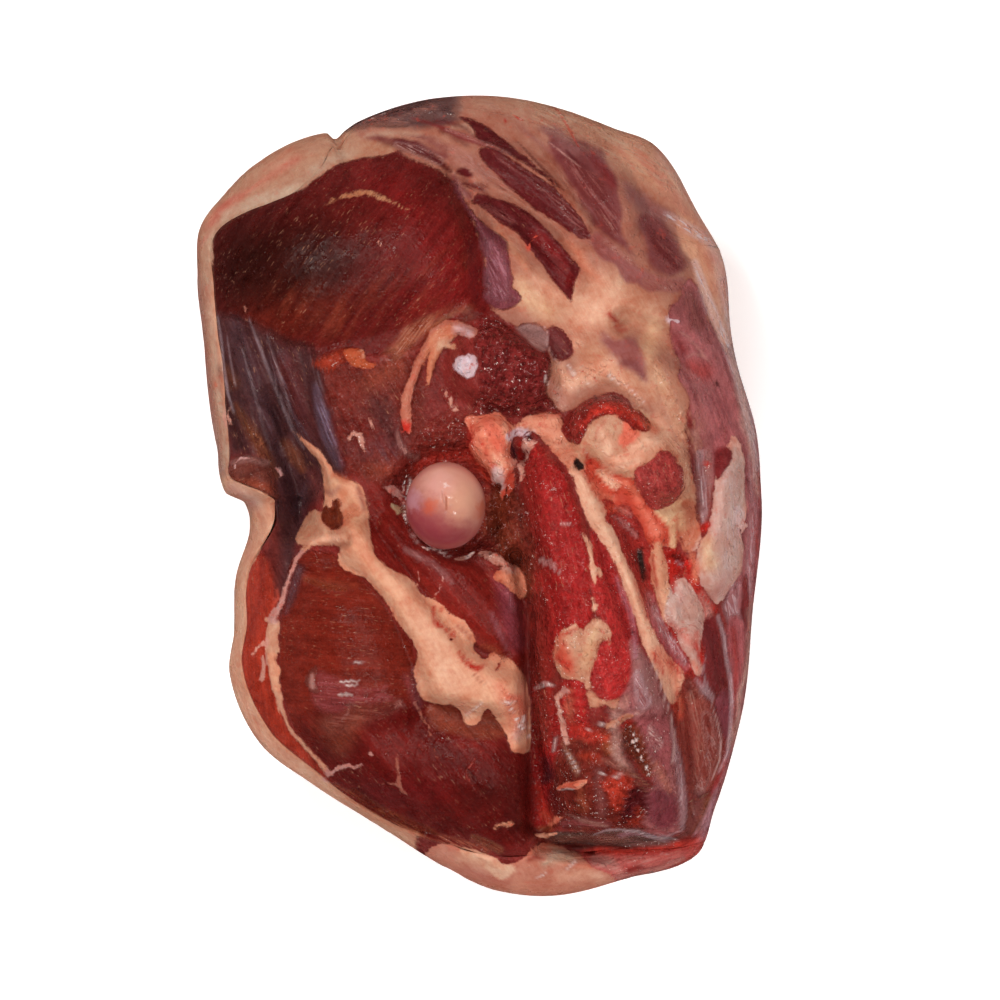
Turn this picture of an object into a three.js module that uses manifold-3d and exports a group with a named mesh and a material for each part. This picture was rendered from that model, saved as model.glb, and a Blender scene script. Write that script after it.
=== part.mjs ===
// A raw leg of lamb, butt end, with the hip bone taken out: it lies on its outer fat with the
// cut face up, and the ball of the thigh bone shows in the middle of that face.
// Millimetres, +Z up. The origin is under the middle of the outline, on the surface that the leg lies on.
// +X runs across the leg towards the inner thigh, and +Y runs away from the shank end.
import * as THREE from "three";
import { mergeVertices } from "three/addons/utils/BufferGeometryUtils.js";
import Module from "manifold-3d";

// ---------------------------------------------------------------- driving dimensions
const RIM_HEIGHT = 47; // level at which the leg is widest
const CROWN_HEIGHT = 83; // level of the cut face in the middle, between its muscles
const SEAT = 0.08; // share of the rim height that the leg's own weight presses flat
const SHOULDER_POWER = 3.1; // squareness of the side above the rim
const SHOULDER_POWER_SWING = 0.7; // the outer, fatty side is squarer than the inner side by this
const BELLY_POWER = 2.5; // squareness of the side below the rim
const FAT_THICKNESS = 5.5; // outer fat, well away from its edge
const FAT_EDGE_THICKNESS = 1.6; // outer fat where it ends
const FIT_GAP = 0.3; // clearance between two solids that touch
const RELIEF_FADE_START = 0.86; // share of the outline's radius where the relief starts to die out

// The ball of the thigh bone.
const BALL = { x: -9.7, y: -2.3, z: 86.5, halfWidth: 12.6, halfLength: 13.8, halfHeight: 12.8 };

// Mesh density.
const SECTORS = 144; // points of a ring round the side
const SECTORS_PER_RING = 6; // points that each ring has more than the one nearer the middle
const FACE_RINGS = 28;
const HIDDEN_RINGS = 7;
const FAT_RINGS = 12;

// The outline seen from above, counterclockwise from the inner thigh. The points marked as torn
// belong to two notches in its upper edge, which do not reach the underside.
const OUTLINE = [
  [85, 0], [84, 20], [79, 38], [76, 52], [73, 71], [65, 86], [53, 105], [40, 110.5], [25, 116],
  [5, 120], [-18, 118.5], [-36, 112.5], [-40.5, 109.5, "torn"], [-43.5, 107, "torn"],
  [-46, 109, "torn"], [-62, 103], [-76, 91], [-84, 80], [-84.5, 66], [-82.5, 44], [-79, 16],
  [-76, 1, "torn"], [-70.5, -2, "torn"], [-69, -11, "torn"], [-73, -24], [-73.5, -40], [-75, -53],
  [-66, -74], [-50, -86.5], [-30, -100], [-10, -111], [6, -118], [22, -120], [45, -114.5],
  [64, -107], [70, -92], [77, -68], [82, -34],
];

// Width of the band of outer fat that shows on the cut face, by direction in degrees.
// A negative width says how far below the widest level the fat ends instead.
const FAT_BAND = [
  [0, -26], [25, -22], [40, -12], [48, 3], [56, 13], [66, 16], [76, 8], [88, 5], [98, 1.5],
  [108, 1], [112, 3], [116, 10], [121, 14], [127, 13], [132, 9], [136, 5], [146, 5], [164, 4.5],
  [178, 3], [185, 6.5], [196, 4], [215, 4.5], [232, 4.5], [250, 3], [264, 6.5], [280, 12.5],
  [290, 9.5], [301, 3], [308, -8], [330, -20],
];

// Muscles and fat that stand up from the cut face. A spine point is [x, y, half width].
// Each form rises by `rise` within `shoulder` of its own edge.
const FORMS = [
  { name: "rump", rise: 10, shoulder: 16, spine: [[-52, 72, 27], [-24, 77, 26]] },
  { name: "thick flank", rise: 9, shoulder: 15, spine: [[-40, -42, 20], [-38, -58, 22]] },
  { name: "lower round", rise: 6, shoulder: 12, spine: [[-30, -84, 13], [-2, -86, 18]] },
  { name: "hip muscle", rise: 5, shoulder: 8, spine: [[-24, -10, 7], [-8, -27, 10], [5, -40, 8]] },
  { name: "seam fat", rise: 7, shoulder: 7, spine: [[-38, -12, 7], [-22, -32, 7], [-8, -54, 10], [6, -59, 8]] },
  { name: "severed stump", rise: 8, shoulder: 7, spine: [[3, 39, 13], [13, 37, 11]] },
  { name: "torn fat", rise: 5, shoulder: 6, spine: [[4, 17, 8], [6, 8, 6]] },
  { name: "inner band", rise: 9, shoulder: 9, spine: [[22, 6, 9], [27, -15, 12], [33, -40, 14], [34, -60, 13]] },
  { name: "shank sheath", rise: 15, shoulder: 14, spine: [[48, -50, 10], [45, -72, 17], [40, -86, 19]] },
  { name: "outer thigh", rise: 6, shoulder: 7, spine: [[64, -45, 8], [67, -66, 9], [68, -82, 7]] },
  { name: "side lobe", rise: 5, shoulder: 7, spine: [[75, 4, 8], [71, -22, 9]] },
  { name: "joint fat", rise: 8, shoulder: 8, spine: [[38, 20, 12], [54, 8, 11]] },
  { name: "long tendon", rise: 7, shoulder: 7, spine: [[28, 8, 7], [38, -12, 7], [46, -28, 7], [54, -50, 7]] },
  { name: "flank", rise: 6, shoulder: 16, spine: [[42, 64, 24], [60, 30, 17]] },
  { name: "first strip", rise: 6, shoulder: 7, spine: [[6, 84, 7], [18, 76, 8], [29, 64, 7]] },
  { name: "second strip", rise: 6, shoulder: 7, spine: [[5, 101, 7], [18, 93, 8], [30, 82, 7]] },
  { name: "third strip", rise: 7, shoulder: 8, spine: [[26, 106, 8], [36, 94, 10], [44, 82, 8]] },
  { name: "silverskin fold", rise: 4, shoulder: 7, spine: [[-68, 46, 7], [-64, 22, 7]] },
];

// Clefts and hollows in the cut face, listed the same way with a depth.
const HOLLOWS = [
  { name: "groin hollow", depth: 12, shoulder: 12, spine: [[-62, 26, 9], [-54, 6, 13], [-54, -8, 10]] },
  { name: "socket", depth: 6, shoulder: 9, spine: [[-9.7, -2.3, 22], [-8.7, -2.3, 22]] },
  { name: "rump edge", depth: 5, shoulder: 7, spine: [[-8, 96, 6], [0, 78, 7], [2, 60, 7]] },
  { name: "main cleft", depth: 12, shoulder: 11, spine: [[9, -18, 9], [14, -36, 10], [15.5, -62, 11], [19, -98, 11]] },
  { name: "shank ledge", depth: 12, shoulder: 7, spine: [[20, -106, 6], [40, -109, 7.5], [60, -105, 6]] },
  { name: "vessel hole", depth: 4, shoulder: 8, spine: [[11, 14, 7], [14, 11, 7]] },
  { name: "blood channel", depth: 6, shoulder: 7, spine: [[44, -10, 6], [52, -34, 6]] },
  { name: "sheath slit", depth: 6, shoulder: 7, spine: [[42, -66, 6], [49, -82, 7]] },
  { name: "thigh groove", depth: 8, shoulder: 7, spine: [[60, -58, 5], [63, -80, 6.5], [65, -98, 6]] },
  { name: "flank fold", depth: 5, shoulder: 7, spine: [[44, 52, 6], [60, 44, 7], [78, 26, 7]] },
];

// ---------------------------------------------------------------- curves round the leg
const TURN = 2 * Math.PI;
const radians = (degrees) => (degrees * Math.PI) / 180;
const clamp01 = (t) => Math.min(1, Math.max(0, t));
const smooth = (t) => clamp01(t) ** 2 * (3 - 2 * clamp01(t));

// A smooth periodic curve through [angle, value] pairs in rising order of angle: a cubic piece
// between two neighbours, whose slope at each is that of the line joining the points beside it.
function periodicCurve(pairs) {
  const n = pairs.length;
  const at = (i) => {
    const lap = Math.floor(i / n);
    const [angle, value] = pairs[i - lap * n];
    return [angle + lap * TURN, value];
  };
  const slope = (i) => (at(i + 1)[1] - at(i - 1)[1]) / (at(i + 1)[0] - at(i - 1)[0]);
  return (angle) => {
    const turned = angle - Math.floor((angle - pairs[0][0]) / TURN) * TURN;
    let i = 0;
    while (i < n - 1 && at(i + 1)[0] <= turned) i++;
    const [a0, v0] = at(i);
    const [a1, v1] = at(i + 1);
    const span = a1 - a0;
    const t = (turned - a0) / span;
    return (
      v0 * (1 + 2 * t) * (1 - t) ** 2 +
      v1 * t * t * (3 - 2 * t) +
      slope(i) * span * t * (1 - t) ** 2 -
      slope(i + 1) * span * t * t * (1 - t)
    );
  };
}

const outlineCurve = (points) =>
  periodicCurve(points.map(([x, y]) => [(Math.atan2(y, x) + TURN) % TURN, Math.hypot(x, y)]));
const tornOutline = outlineCurve(OUTLINE);
const wholeOutline = outlineCurve(OUTLINE.filter(([, , torn]) => !torn));

// The outline at angle phi: torn on top, and whole again a little below the widest level.
function outlineRadius(theta, phi) {
  const healed = smooth((phi - Math.PI / 2 + 0.1) / 0.5);
  return tornOutline(theta) * (1 - healed) + wholeOutline(theta) * healed;
}
const fatBand = periodicCurve(FAT_BAND.map(([degrees, width]) => [radians(degrees), width]));

// ---------------------------------------------------------------- relief of the cut face
// Distance from (x, y) to a tapered spine: negative inside its half width.
function spineDistance(x, y, spine) {
  let least = Infinity;
  for (let i = 0; i + 1 < spine.length; i++) {
    const [ax, ay, ar] = spine[i];
    const [bx, by, br] = spine[i + 1];
    const [dx, dy] = [bx - ax, by - ay];
    const t = clamp01(((x - ax) * dx + (y - ay) * dy) / (dx * dx + dy * dy));
    least = Math.min(least, Math.hypot(x - ax - t * dx, y - ay - t * dy) - ar - t * (br - ar));
  }
  return least;
}

// Height of the cut face over its bare crown, with sharp edges: the forms there, less every hollow.
const CREASE_POWER = 5;
function sharpRelief(x, y) {
  let sum = 0;
  for (const form of FORMS) {
    const inside = clamp01(-spineDistance(x, y, form.spine) / form.shoulder);
    sum += (form.rise * Math.sin((inside * Math.PI) / 2)) ** CREASE_POWER;
  }
  let rise = sum ** (1 / CREASE_POWER);
  for (const hollow of HOLLOWS) {
    rise -= hollow.depth * smooth(-spineDistance(x, y, hollow.spine) / hollow.shoulder);
  }
  return rise;
}

// The same, softened as flesh is: the mean over a small disc.
const SOFTENING = 3;
function relief(x, y) {
  let sum = sharpRelief(x, y);
  for (let i = 0; i < 8; i++) {
    const [dx, dy] = [SOFTENING * Math.cos((i * TURN) / 8), SOFTENING * Math.sin((i * TURN) / 8)];
    sum += sharpRelief(x + dx, y + dy);
  }
  return sum / 9;
}

// ---------------------------------------------------------------- the leg's outer surface
const shoulderPower = (theta) => SHOULDER_POWER - SHOULDER_POWER_SWING * Math.cos(theta);

// Slow swells of skin and fat round the side and the underside.
const swell = (theta, phi) =>
  0.012 * Math.sin(3 * theta + 4 * phi) * Math.sin(2 * phi) +
  0.007 * Math.sin(7 * theta - 6 * phi + 1) * Math.sin(phi) ** 4;

// The point of the outer surface in direction theta, where phi runs from 0 on top to PI underneath.
// The side is a superellipse. `inset` is how far the point is moved in along the surface's normal.
function surfacePoint(theta, phi, inset = 0) {
  const above = phi < Math.PI / 2;
  const power = above ? shoulderPower(theta) : BELLY_POWER;
  const side = Math.sin(phi) ** (2 / power);
  const lift = Math.abs(Math.cos(phi)) ** (2 / power);
  const reach = outlineRadius(theta, phi);
  const under = above ? 0 : swell(theta, phi - Math.PI / 2);
  const radius = reach * side * (1 + under);
  const [x, y] = [radius * Math.cos(theta), radius * Math.sin(theta)];
  const z = above
    ? RIM_HEIGHT + (CROWN_HEIGHT - RIM_HEIGHT) * lift + relief(x, y) * reliefShare(side)
    : Math.max(0, RIM_HEIGHT * (1 - (1 + SEAT) * lift));
  if (inset === 0) return new THREE.Vector3(x, y, z);
  const outward = side ** (power - 1) / reach;
  const height = above ? CROWN_HEIGHT - RIM_HEIGHT : -RIM_HEIGHT;
  const upward = lift ** (power - 1) / height;
  const normal = new THREE.Vector3(outward * Math.cos(theta), outward * Math.sin(theta), upward);
  return new THREE.Vector3(x, y, z).addScaledVector(normal.normalize(), -inset);
}

const reliefShare = (side) => 1 - smooth((side - RELIEF_FADE_START) / (1 - RELIEF_FADE_START));

// Where the outer fat ends, as an angle phi.
function fatEdge(theta) {
  const width = fatBand(theta);
  if (width < 0) return Math.PI / 2 - width / RIM_HEIGHT;
  const side = 1 - width / tornOutline(theta);
  return Math.asin(side ** (shoulderPower(theta) / 2));
}

// ---------------------------------------------------------------- solids from rings
// Number of points of a ring that is `steps` rings away from its pole.
const ringSize = (steps) => Math.max(1, Math.min(SECTORS, steps * SECTORS_PER_RING));

// The points of a ring: pointAt(theta) at evenly spaced directions.
const makeRing = (size, pointAt) =>
  Array.from({ length: size }, (_, s) => pointAt((s / size) * TURN));

// Adds the triangles between two neighbouring rings, which may differ in their number of points.
function addBand(positions, upper, lower, inward) {
  const steps = (ring) => (ring.length === 1 ? 0 : ring.length);
  let [i, j] = [0, 0];
  while (i < steps(upper) || j < steps(lower)) {
    const [a, b] = [upper[i % upper.length], lower[j % lower.length]];
    const nextUpper = i < steps(upper) ? (i + 1) / upper.length : Infinity;
    const nextLower = j < steps(lower) ? (j + 1) / lower.length : Infinity;
    const c = nextLower <= nextUpper ? lower[++j % lower.length] : upper[++i % upper.length];
    for (const point of inward ? [a, c, b] : [a, b, c]) positions.push(point.x, point.y, point.z);
  }
}

// A skin over a run of rings listed from the top down, facing outwards or inwards.
function addSkin(positions, rings, inward = false) {
  for (let i = 0; i + 1 < rings.length; i++) addBand(positions, rings[i], rings[i + 1], inward);
}

function closedGeometry(positions) {
  const geometry = new THREE.BufferGeometry();
  geometry.setAttribute("position", new THREE.Float32BufferAttribute(positions, 3));
  const merged = mergeVertices(geometry, 1e-4);
  merged.computeVertexNormals();
  return merged;
}

// Thickness of the fat at phi, growing from its edge downwards.
const FAT_GROWTH_ANGLE = 0.35;
function fatDepth(theta, phi) {
  const grown = smooth((phi - fatEdge(theta)) / FAT_GROWTH_ANGLE);
  return FAT_EDGE_THICKNESS + (FAT_THICKNESS - FAT_EDGE_THICKNESS) * grown;
}

// Rings from the fat's edge to the bottom, over the outside or over the lean under the fat.
function lowerRings(count, pointAt) {
  return Array.from({ length: count + 1 }, (_, i) =>
    makeRing(ringSize((count - i) * 4), (theta) => {
      const edge = fatEdge(theta);
      return pointAt(theta, edge + (Math.PI - edge) * (i / count));
    }),
  );
}

// The lean: the cut face up to just inside the fat's edge, down the depth of that edge, then the
// surface that the fat covers.
const EDGE_CLEARANCE_ANGLE = 0.012;
const FACE_RING_POWER = 1.4; // spaces the rings of the face evenly in plan
function leanGeometry() {
  const rim = (theta) => fatEdge(theta) - EDGE_CLEARANCE_ANGLE;
  const rings = [];
  for (let i = 0; i <= FACE_RINGS; i++) {
    const share = (i / FACE_RINGS) ** FACE_RING_POWER;
    rings.push(makeRing(ringSize(i), (theta) => surfacePoint(theta, rim(theta) * share)));
  }
  const edgeDepth = FAT_EDGE_THICKNESS + FIT_GAP;
  rings.push(makeRing(SECTORS, (theta) => surfacePoint(theta, rim(theta), edgeDepth)));
  rings.push(
    ...lowerRings(HIDDEN_RINGS, (theta, phi) =>
      surfacePoint(theta, phi, fatDepth(theta, phi) + FIT_GAP),
    ),
  );
  const positions = [];
  addSkin(positions, rings);
  return closedGeometry(positions);
}

// The outer fat: its outside, its inside and the narrow edge between them.
function fatGeometry() {
  const outside = lowerRings(FAT_RINGS, (theta, phi) => surfacePoint(theta, phi));
  const inside = lowerRings(HIDDEN_RINGS, (theta, phi) =>
    surfacePoint(theta, phi, fatDepth(theta, phi)),
  );
  const positions = [];
  addSkin(positions, outside);
  addSkin(positions, inside, true);
  addBand(positions, inside[0], outside[0]);
  return closedGeometry(positions);
}

// The ball, or the room for it when it is grown by a clearance.
function ballGeometry(clearance = 0) {
  const ball = new THREE.SphereGeometry(1, 26, 14);
  ball.scale(BALL.halfWidth + clearance, BALL.halfLength + clearance, BALL.halfHeight + clearance);
  ball.rotateX(radians(90));
  return ball;
}

// ---------------------------------------------------------------- cutting with manifold-3d
const wasm = await Module();
wasm.setup();

function toManifold(geometry) {
  const bare = geometry.clone();
  bare.deleteAttribute("normal");
  bare.deleteAttribute("uv");
  const merged = mergeVertices(bare, 1e-4);
  return new wasm.Manifold(
    new wasm.Mesh({
      numProp: 3,
      vertProperties: new Float32Array(merged.attributes.position.array),
      triVerts: new Uint32Array(merged.index.array),
    }),
  );
}

function toGeometry(solid) {
  const { vertProperties, triVerts } = solid.getMesh();
  const geometry = new THREE.BufferGeometry();
  geometry.setAttribute("position", new THREE.BufferAttribute(new Float32Array(vertProperties), 3));
  geometry.setIndex(new THREE.BufferAttribute(new Uint32Array(triVerts), 1));
  geometry.computeVertexNormals();
  return geometry;
}

// ---------------------------------------------------------------- the leg
function namedMesh(name, geometry, color, roughness) {
  const material = new THREE.MeshStandardMaterial({ color, roughness, metalness: 0 });
  const mesh = new THREE.Mesh(geometry, material);
  mesh.name = name;
  return mesh;
}

const socketCutter = ballGeometry(FIT_GAP).translate(BALL.x, BALL.y, BALL.z);
const lean = toGeometry(toManifold(leanGeometry()).subtract(toManifold(socketCutter)));

const leg = new THREE.Group();
leg.name = "leg_of_lamb";
leg.add(namedMesh("lean_meat", lean, 0x701c17, 0.35));
leg.add(namedMesh("fat_cap", fatGeometry(), 0xd29e80, 0.45));
const ball = namedMesh("femur_head", ballGeometry(), 0xcf9683, 0.25);
ball.position.set(BALL.x, BALL.y, BALL.z);
leg.add(ball);

export default leg;
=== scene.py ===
# %% [markdown]
# # A raw leg of lamb
#
# The leg lies on its outer fat with the cut face up. This lesson builds it in five steps:
#
# 1. the smooth body, as a function of two angles,
# 2. the relief of the cut face, from muscles, clefts, fat seams and strands,
# 3. the colours of the cut face, painted in layers as attributes,
# 4. the materials, which add what is finer than the mesh: fibres, mottling, torn edges and moisture,
# 5. the floor, the lights and the camera.
#
# Lengths are in millimetres until a mesh is made. Materials and lights are in metres.

# %% The frame
import math

import bpy
import numpy as np
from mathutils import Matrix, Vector


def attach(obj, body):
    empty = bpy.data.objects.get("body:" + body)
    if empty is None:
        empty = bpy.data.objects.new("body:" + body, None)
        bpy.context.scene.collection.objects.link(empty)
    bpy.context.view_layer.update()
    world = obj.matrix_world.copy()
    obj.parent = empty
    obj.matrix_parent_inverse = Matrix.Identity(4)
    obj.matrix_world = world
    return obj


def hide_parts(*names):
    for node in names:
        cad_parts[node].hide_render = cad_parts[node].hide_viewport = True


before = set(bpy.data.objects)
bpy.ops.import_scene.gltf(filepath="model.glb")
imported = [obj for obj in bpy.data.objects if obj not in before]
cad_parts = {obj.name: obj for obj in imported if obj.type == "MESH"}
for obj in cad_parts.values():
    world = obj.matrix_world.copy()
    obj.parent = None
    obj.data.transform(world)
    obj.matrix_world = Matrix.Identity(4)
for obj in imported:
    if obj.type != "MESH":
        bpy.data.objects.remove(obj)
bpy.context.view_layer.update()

MM = 0.001

# %% [markdown]
# ## Noise
#
# Everything uneven comes from one smooth noise: random values at the corners of a cubic lattice,
# blended between the corners by the weight 3t^2 - 2t^3. The values come from a hash of the
# corner's whole-number coordinates, so every run gives the same flesh.

# %% Noise and small helpers
def lattice(ix, iy, iz, seed):
    """A value from 0 to 1 for each corner: its coordinates times large odd numbers, with the bits stirred."""
    mask = np.int64(0xFFFFFFFF)
    h = (ix * 374761393 + iy * 668265263 + iz * 1440662683 + seed * 974634777) & mask
    h = ((h ^ (h >> 13)) * 1274126177) & mask
    return (h ^ (h >> 16)) / 4294967296.0


def noise(x, y, z, seed=0):
    """Smooth noise from -1 to 1, with one lattice cell to each unit."""
    x, y, z = np.broadcast_arrays(x, y, z)
    corners = [np.floor(v).astype(np.int64) for v in (x, y, z)]
    parts = [v - c for v, c in zip((x, y, z), corners)]
    wx, wy, wz = [t * t * (3 - 2 * t) for t in parts]
    total = 0.0
    for dx in (0, 1):
        for dy in (0, 1):
            for dz in (0, 1):
                weight = (wx if dx else 1 - wx) * (wy if dy else 1 - wy) * (wz if dz else 1 - wz)
                total = total + weight * lattice(corners[0] + dx, corners[1] + dy, corners[2] + dz, seed)
    return 2 * total - 1


def fractal(x, y, z, seed=0, octaves=3):
    """Noise summed over octaves, each half as large and half as strong as the one before. The sum is
    divided by what three octaves can reach."""
    return sum(noise(x * 2**i, y * 2**i, z * 2**i, seed + i) / 2**i for i in range(octaves)) / 1.75


def clamp(t, low=0.0, high=1.0):
    return np.minimum(high, np.maximum(low, t))


def smoothstep(low, high, value):
    """0 below low, 1 above high, and 3t^2 - 2t^3 between them."""
    t = clamp((value - low) / (high - low))
    return t * t * (3 - 2 * t)


def mix(a, b, share):
    return a + (b - a) * share

# %% [markdown]
# ## The smooth body
#
# The outline seen from above is a closed curve. Above and below its widest level the side is a
# superellipse, and the lower end is cut off flat where the leg's weight presses it. These are the
# same sizes as the CAD model's.

# %% The outline, the fat's edge and the body
RIM_HEIGHT, CROWN_HEIGHT, SEAT = 47.0, 83.0, 0.08  # widest level, top, share that the seat cuts off
SHOULDER_POWER, SHOULDER_SWING, BELLY_POWER = 3.1, 0.7, 2.5
FAT_THICKNESS, FAT_EDGE_THICKNESS = 5.5, 1.8
RELIEF_FADE_START = 0.86  # share of the radius from which the relief dies out
LIP_DEPTH = 0.5  # of the groove where the outer fat meets the face
BALL_CENTRE, BALL_HALF = (-10.1, -2.9, 86.5), (12.0, 13.1, 12.8)

OUTLINE = [
    (84.6, 0), (82.9, 20), (77.8, 37.6), (75.2, 51.4), (73, 71), (65, 86), (53, 105), (40, 110.5),
    (25, 116), (5, 120), (-18, 118.5), (-36, 112.5), (-40.5, 109.5), (-43.5, 107), (-46, 109), (-62, 103),
    (-76, 91), (-84, 80), (-84.5, 66), (-82.5, 44), (-79, 16), (-76, 1), (-70.5, -2), (-69, -11),
    (-73, -24), (-73.5, -40), (-75, -53), (-66, -74), (-50, -86.5), (-30, -99), (-10, -111.4), (4, -118),
    (22, -120), (45, -114.5), (65, -107.8), (70.8, -93), (78, -68.4), (82, -34),
]
TORN = {12, 13, 14, 21, 22, 23}  # the outline's points that belong to its two torn notches

FAT_BAND = [  # (direction in degrees, width of the fat seen from above)
    (0, -26), (25, -22), (40, -12), (48, 3), (56, 13), (66, 16), (76, 8), (88, 5), (98, 1.5), (108, 1),
    (112, 3), (116, 10), (121, 12.8), (125.4, 11), (129.3, 7.8), (132.8, 5.6), (136, 4.8), (141, 5.8),
    (146, 5.8), (164, 4.5), (172, 2.8), (175.6, 2.6), (177, 6), (178.5, 10.6), (180, 11.6), (181.6, 9.4),
    (184, 8.2), (187.5, 7.2), (193, 5.4), (199, 3.8), (215, 4.5), (232, 4.5), (250, 2), (256.5, 3),
    (261, 6), (266, 7.4), (280, 12.5), (290, 9.5), (301, 3), (308, -8), (330, -20),
]


def periodic_curve(angles, values):
    """A cubic piece between neighbours, whose slope at each is that of the chord between the two
    points beside it. Angles are in radians, rising, over one turn."""
    a = np.concatenate([angles[-2:] - 2 * np.pi, angles, angles[:2] + 2 * np.pi])
    v = np.concatenate([values[-2:], values, values[:2]])
    slope = np.zeros_like(v)
    slope[1:-1] = (v[2:] - v[:-2]) / (a[2:] - a[:-2])

    def at(angle):
        turned = (angle - a[2]) % (2 * np.pi) + a[2]
        i = np.clip(np.searchsorted(a, turned, side="right") - 1, 1, len(a) - 3)
        span = a[i + 1] - a[i]
        t = (turned - a[i]) / span
        return (
            v[i] * (1 + 2 * t) * (1 - t) ** 2
            + v[i + 1] * t * t * (3 - 2 * t)
            + slope[i] * span * t * (1 - t) ** 2
            - slope[i + 1] * span * t * t * (1 - t)
        )

    return at


def outline_curve(points):
    """The outline's distance from the middle, by direction."""
    x, y = np.array(points, float).T
    return periodic_curve(np.arctan2(y, x) % (2 * np.pi), np.hypot(x, y))


torn_outline = outline_curve(OUTLINE)
whole_outline = outline_curve([p for i, p in enumerate(OUTLINE) if i not in TORN])
fat_band = periodic_curve(*[np.array(v, float) for v in zip(*[(math.radians(d), w) for d, w in FAT_BAND])])


def shoulder_power(theta):
    """The face rolls over more sharply on the left than on the right."""
    return SHOULDER_POWER - SHOULDER_SWING * np.cos(theta)


def outline_radius(theta, phi):
    """The torn outline at the widest level, which heals into the whole one further down."""
    healed = smoothstep(0.05, 0.8, phi - np.pi / 2)
    return mix(torn_outline(theta), whole_outline(theta), healed)


def swell(theta, phi):
    """Slow swells of the side and the underside, as a share of the radius."""
    broad = 0.012 * np.sin(3 * theta + 4 * phi) * np.sin(2 * phi)
    return broad + 0.007 * np.sin(7 * theta - 6 * phi + 1) * np.sin(phi) ** 4


def fat_edge(theta):
    """Angle phi at which the outer fat ends, with the small waves of a knife cut."""
    waves = 1.1 * noise(3.2 * theta, 0.5, 0.5, 5) + 0.5 * noise(15 * theta, 0.5, 0.5, 6)
    width = fat_band(theta) + waves * smoothstep(1, 5, fat_band(theta))
    side = clamp(1 - width / torn_outline(theta), 0, 1)
    on_face = np.arcsin(side ** (shoulder_power(theta) / 2))
    return np.where(width < 0, np.pi / 2 - width / RIM_HEIGHT, on_face)


def body(theta, phi, face_height, inset=0.0):
    """Points of the body in direction theta, with phi from 0 on top to pi underneath.

    Above the widest level the radius is sin(phi)^(2/p) of the outline's, and the height rises by
    cos(phi)^(2/p) of the crown's, plus what face_height(x, y) adds, which dies out at the rim.
    Below it the same holds with another power, down to the flat that the leg lies on.
    """
    above = phi < np.pi / 2
    power = np.where(above, shoulder_power(theta), BELLY_POWER)
    side = np.abs(np.sin(phi)) ** (2 / power)
    lift = np.abs(np.cos(phi)) ** (2 / power)
    reach = outline_radius(theta, phi)
    radius = reach * side * (1 + np.where(above, 0, swell(theta, phi - np.pi / 2)))
    x, y = radius * np.cos(theta), radius * np.sin(theta)
    share = 1 - smoothstep(RELIEF_FADE_START, 1, side)
    top = RIM_HEIGHT + (CROWN_HEIGHT - RIM_HEIGHT) * lift + face_height(x, y) * share
    z = np.where(above, top, np.maximum(0, RIM_HEIGHT * (1 - (1 + SEAT) * lift)))
    out = side ** (power - 1) / reach
    up = np.where(above, 1 / (CROWN_HEIGHT - RIM_HEIGHT), -1 / RIM_HEIGHT) * lift ** (power - 1)
    size = np.hypot(out, up)
    inward = inset / size
    return np.stack([x - inward * out * np.cos(theta), y - inward * out * np.sin(theta), z - inward * up], -1)


farthest = torn_outline(np.linspace(0, 2 * np.pi, 99)).max()
print("The farthest point is", round(float(farthest), 1), "mm from the middle")

# %% [markdown]
# ## Shapes on the cut face
#
# A shape is either an outline, a list of (x, y), or a spine, a list of (x, y, half width). One
# function measures how deep a point lies inside either of them.

# %% Depth inside a shape
def rounded(points, rounds=2):
    """A closed outline with its corners cut a few times, each cut taking a quarter off each side."""
    p = np.array(points, float)
    for _ in range(rounds):
        q = np.roll(p, -1, axis=0)
        p = np.stack([0.75 * p + 0.25 * q, 0.25 * p + 0.75 * q], 1).reshape(-1, 2)
    return p


def depth_in_outline(x, y, points):
    """Distance to the outline's nearest side, positive inside."""
    p = rounded(points)
    least = np.full(x.shape, 1e9)
    inside = np.zeros(x.shape, bool)
    for (ax, ay), (bx, by) in zip(p, np.roll(p, -1, axis=0)):
        dx, dy = bx - ax, by - ay
        t = clamp(((x - ax) * dx + (y - ay) * dy) / (dx * dx + dy * dy + 1e-9))
        least = np.minimum(least, (x - ax - t * dx) ** 2 + (y - ay - t * dy) ** 2)
        if dy != 0:
            inside ^= ((ay > y) != (by > y)) & (x < ax + (y - ay) * dx / dy)
    return np.where(inside, 1, -1) * np.sqrt(least)


def depth_in_spine(x, y, spine):
    """How far inside the tapered band round a spine a point lies."""
    best = np.full(x.shape, -1e9)
    for (ax, ay, ar), (bx, by, br) in zip(spine, spine[1:]):
        dx, dy = bx - ax, by - ay
        t = clamp(((x - ax) * dx + (y - ay) * dy) / (dx * dx + dy * dy + 1e-9))
        best = np.maximum(best, ar + t * (br - ar) - np.hypot(x - ax - t * dx, y - ay - t * dy))
    return best


def depth_inside(x, y, shape):
    return (depth_in_spine if len(shape[0]) == 3 else depth_in_outline)(x, y, shape)


def dome(t):
    """A round shoulder: 0 at the edge, 1 from the shoulder's width inwards."""
    return np.sin(clamp(t) * np.pi / 2)

# %% [markdown]
# ## The large relief
#
# Muscles stand up from the cut face, and clefts run between them. These are the forms that the
# CAD model has too.

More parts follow.
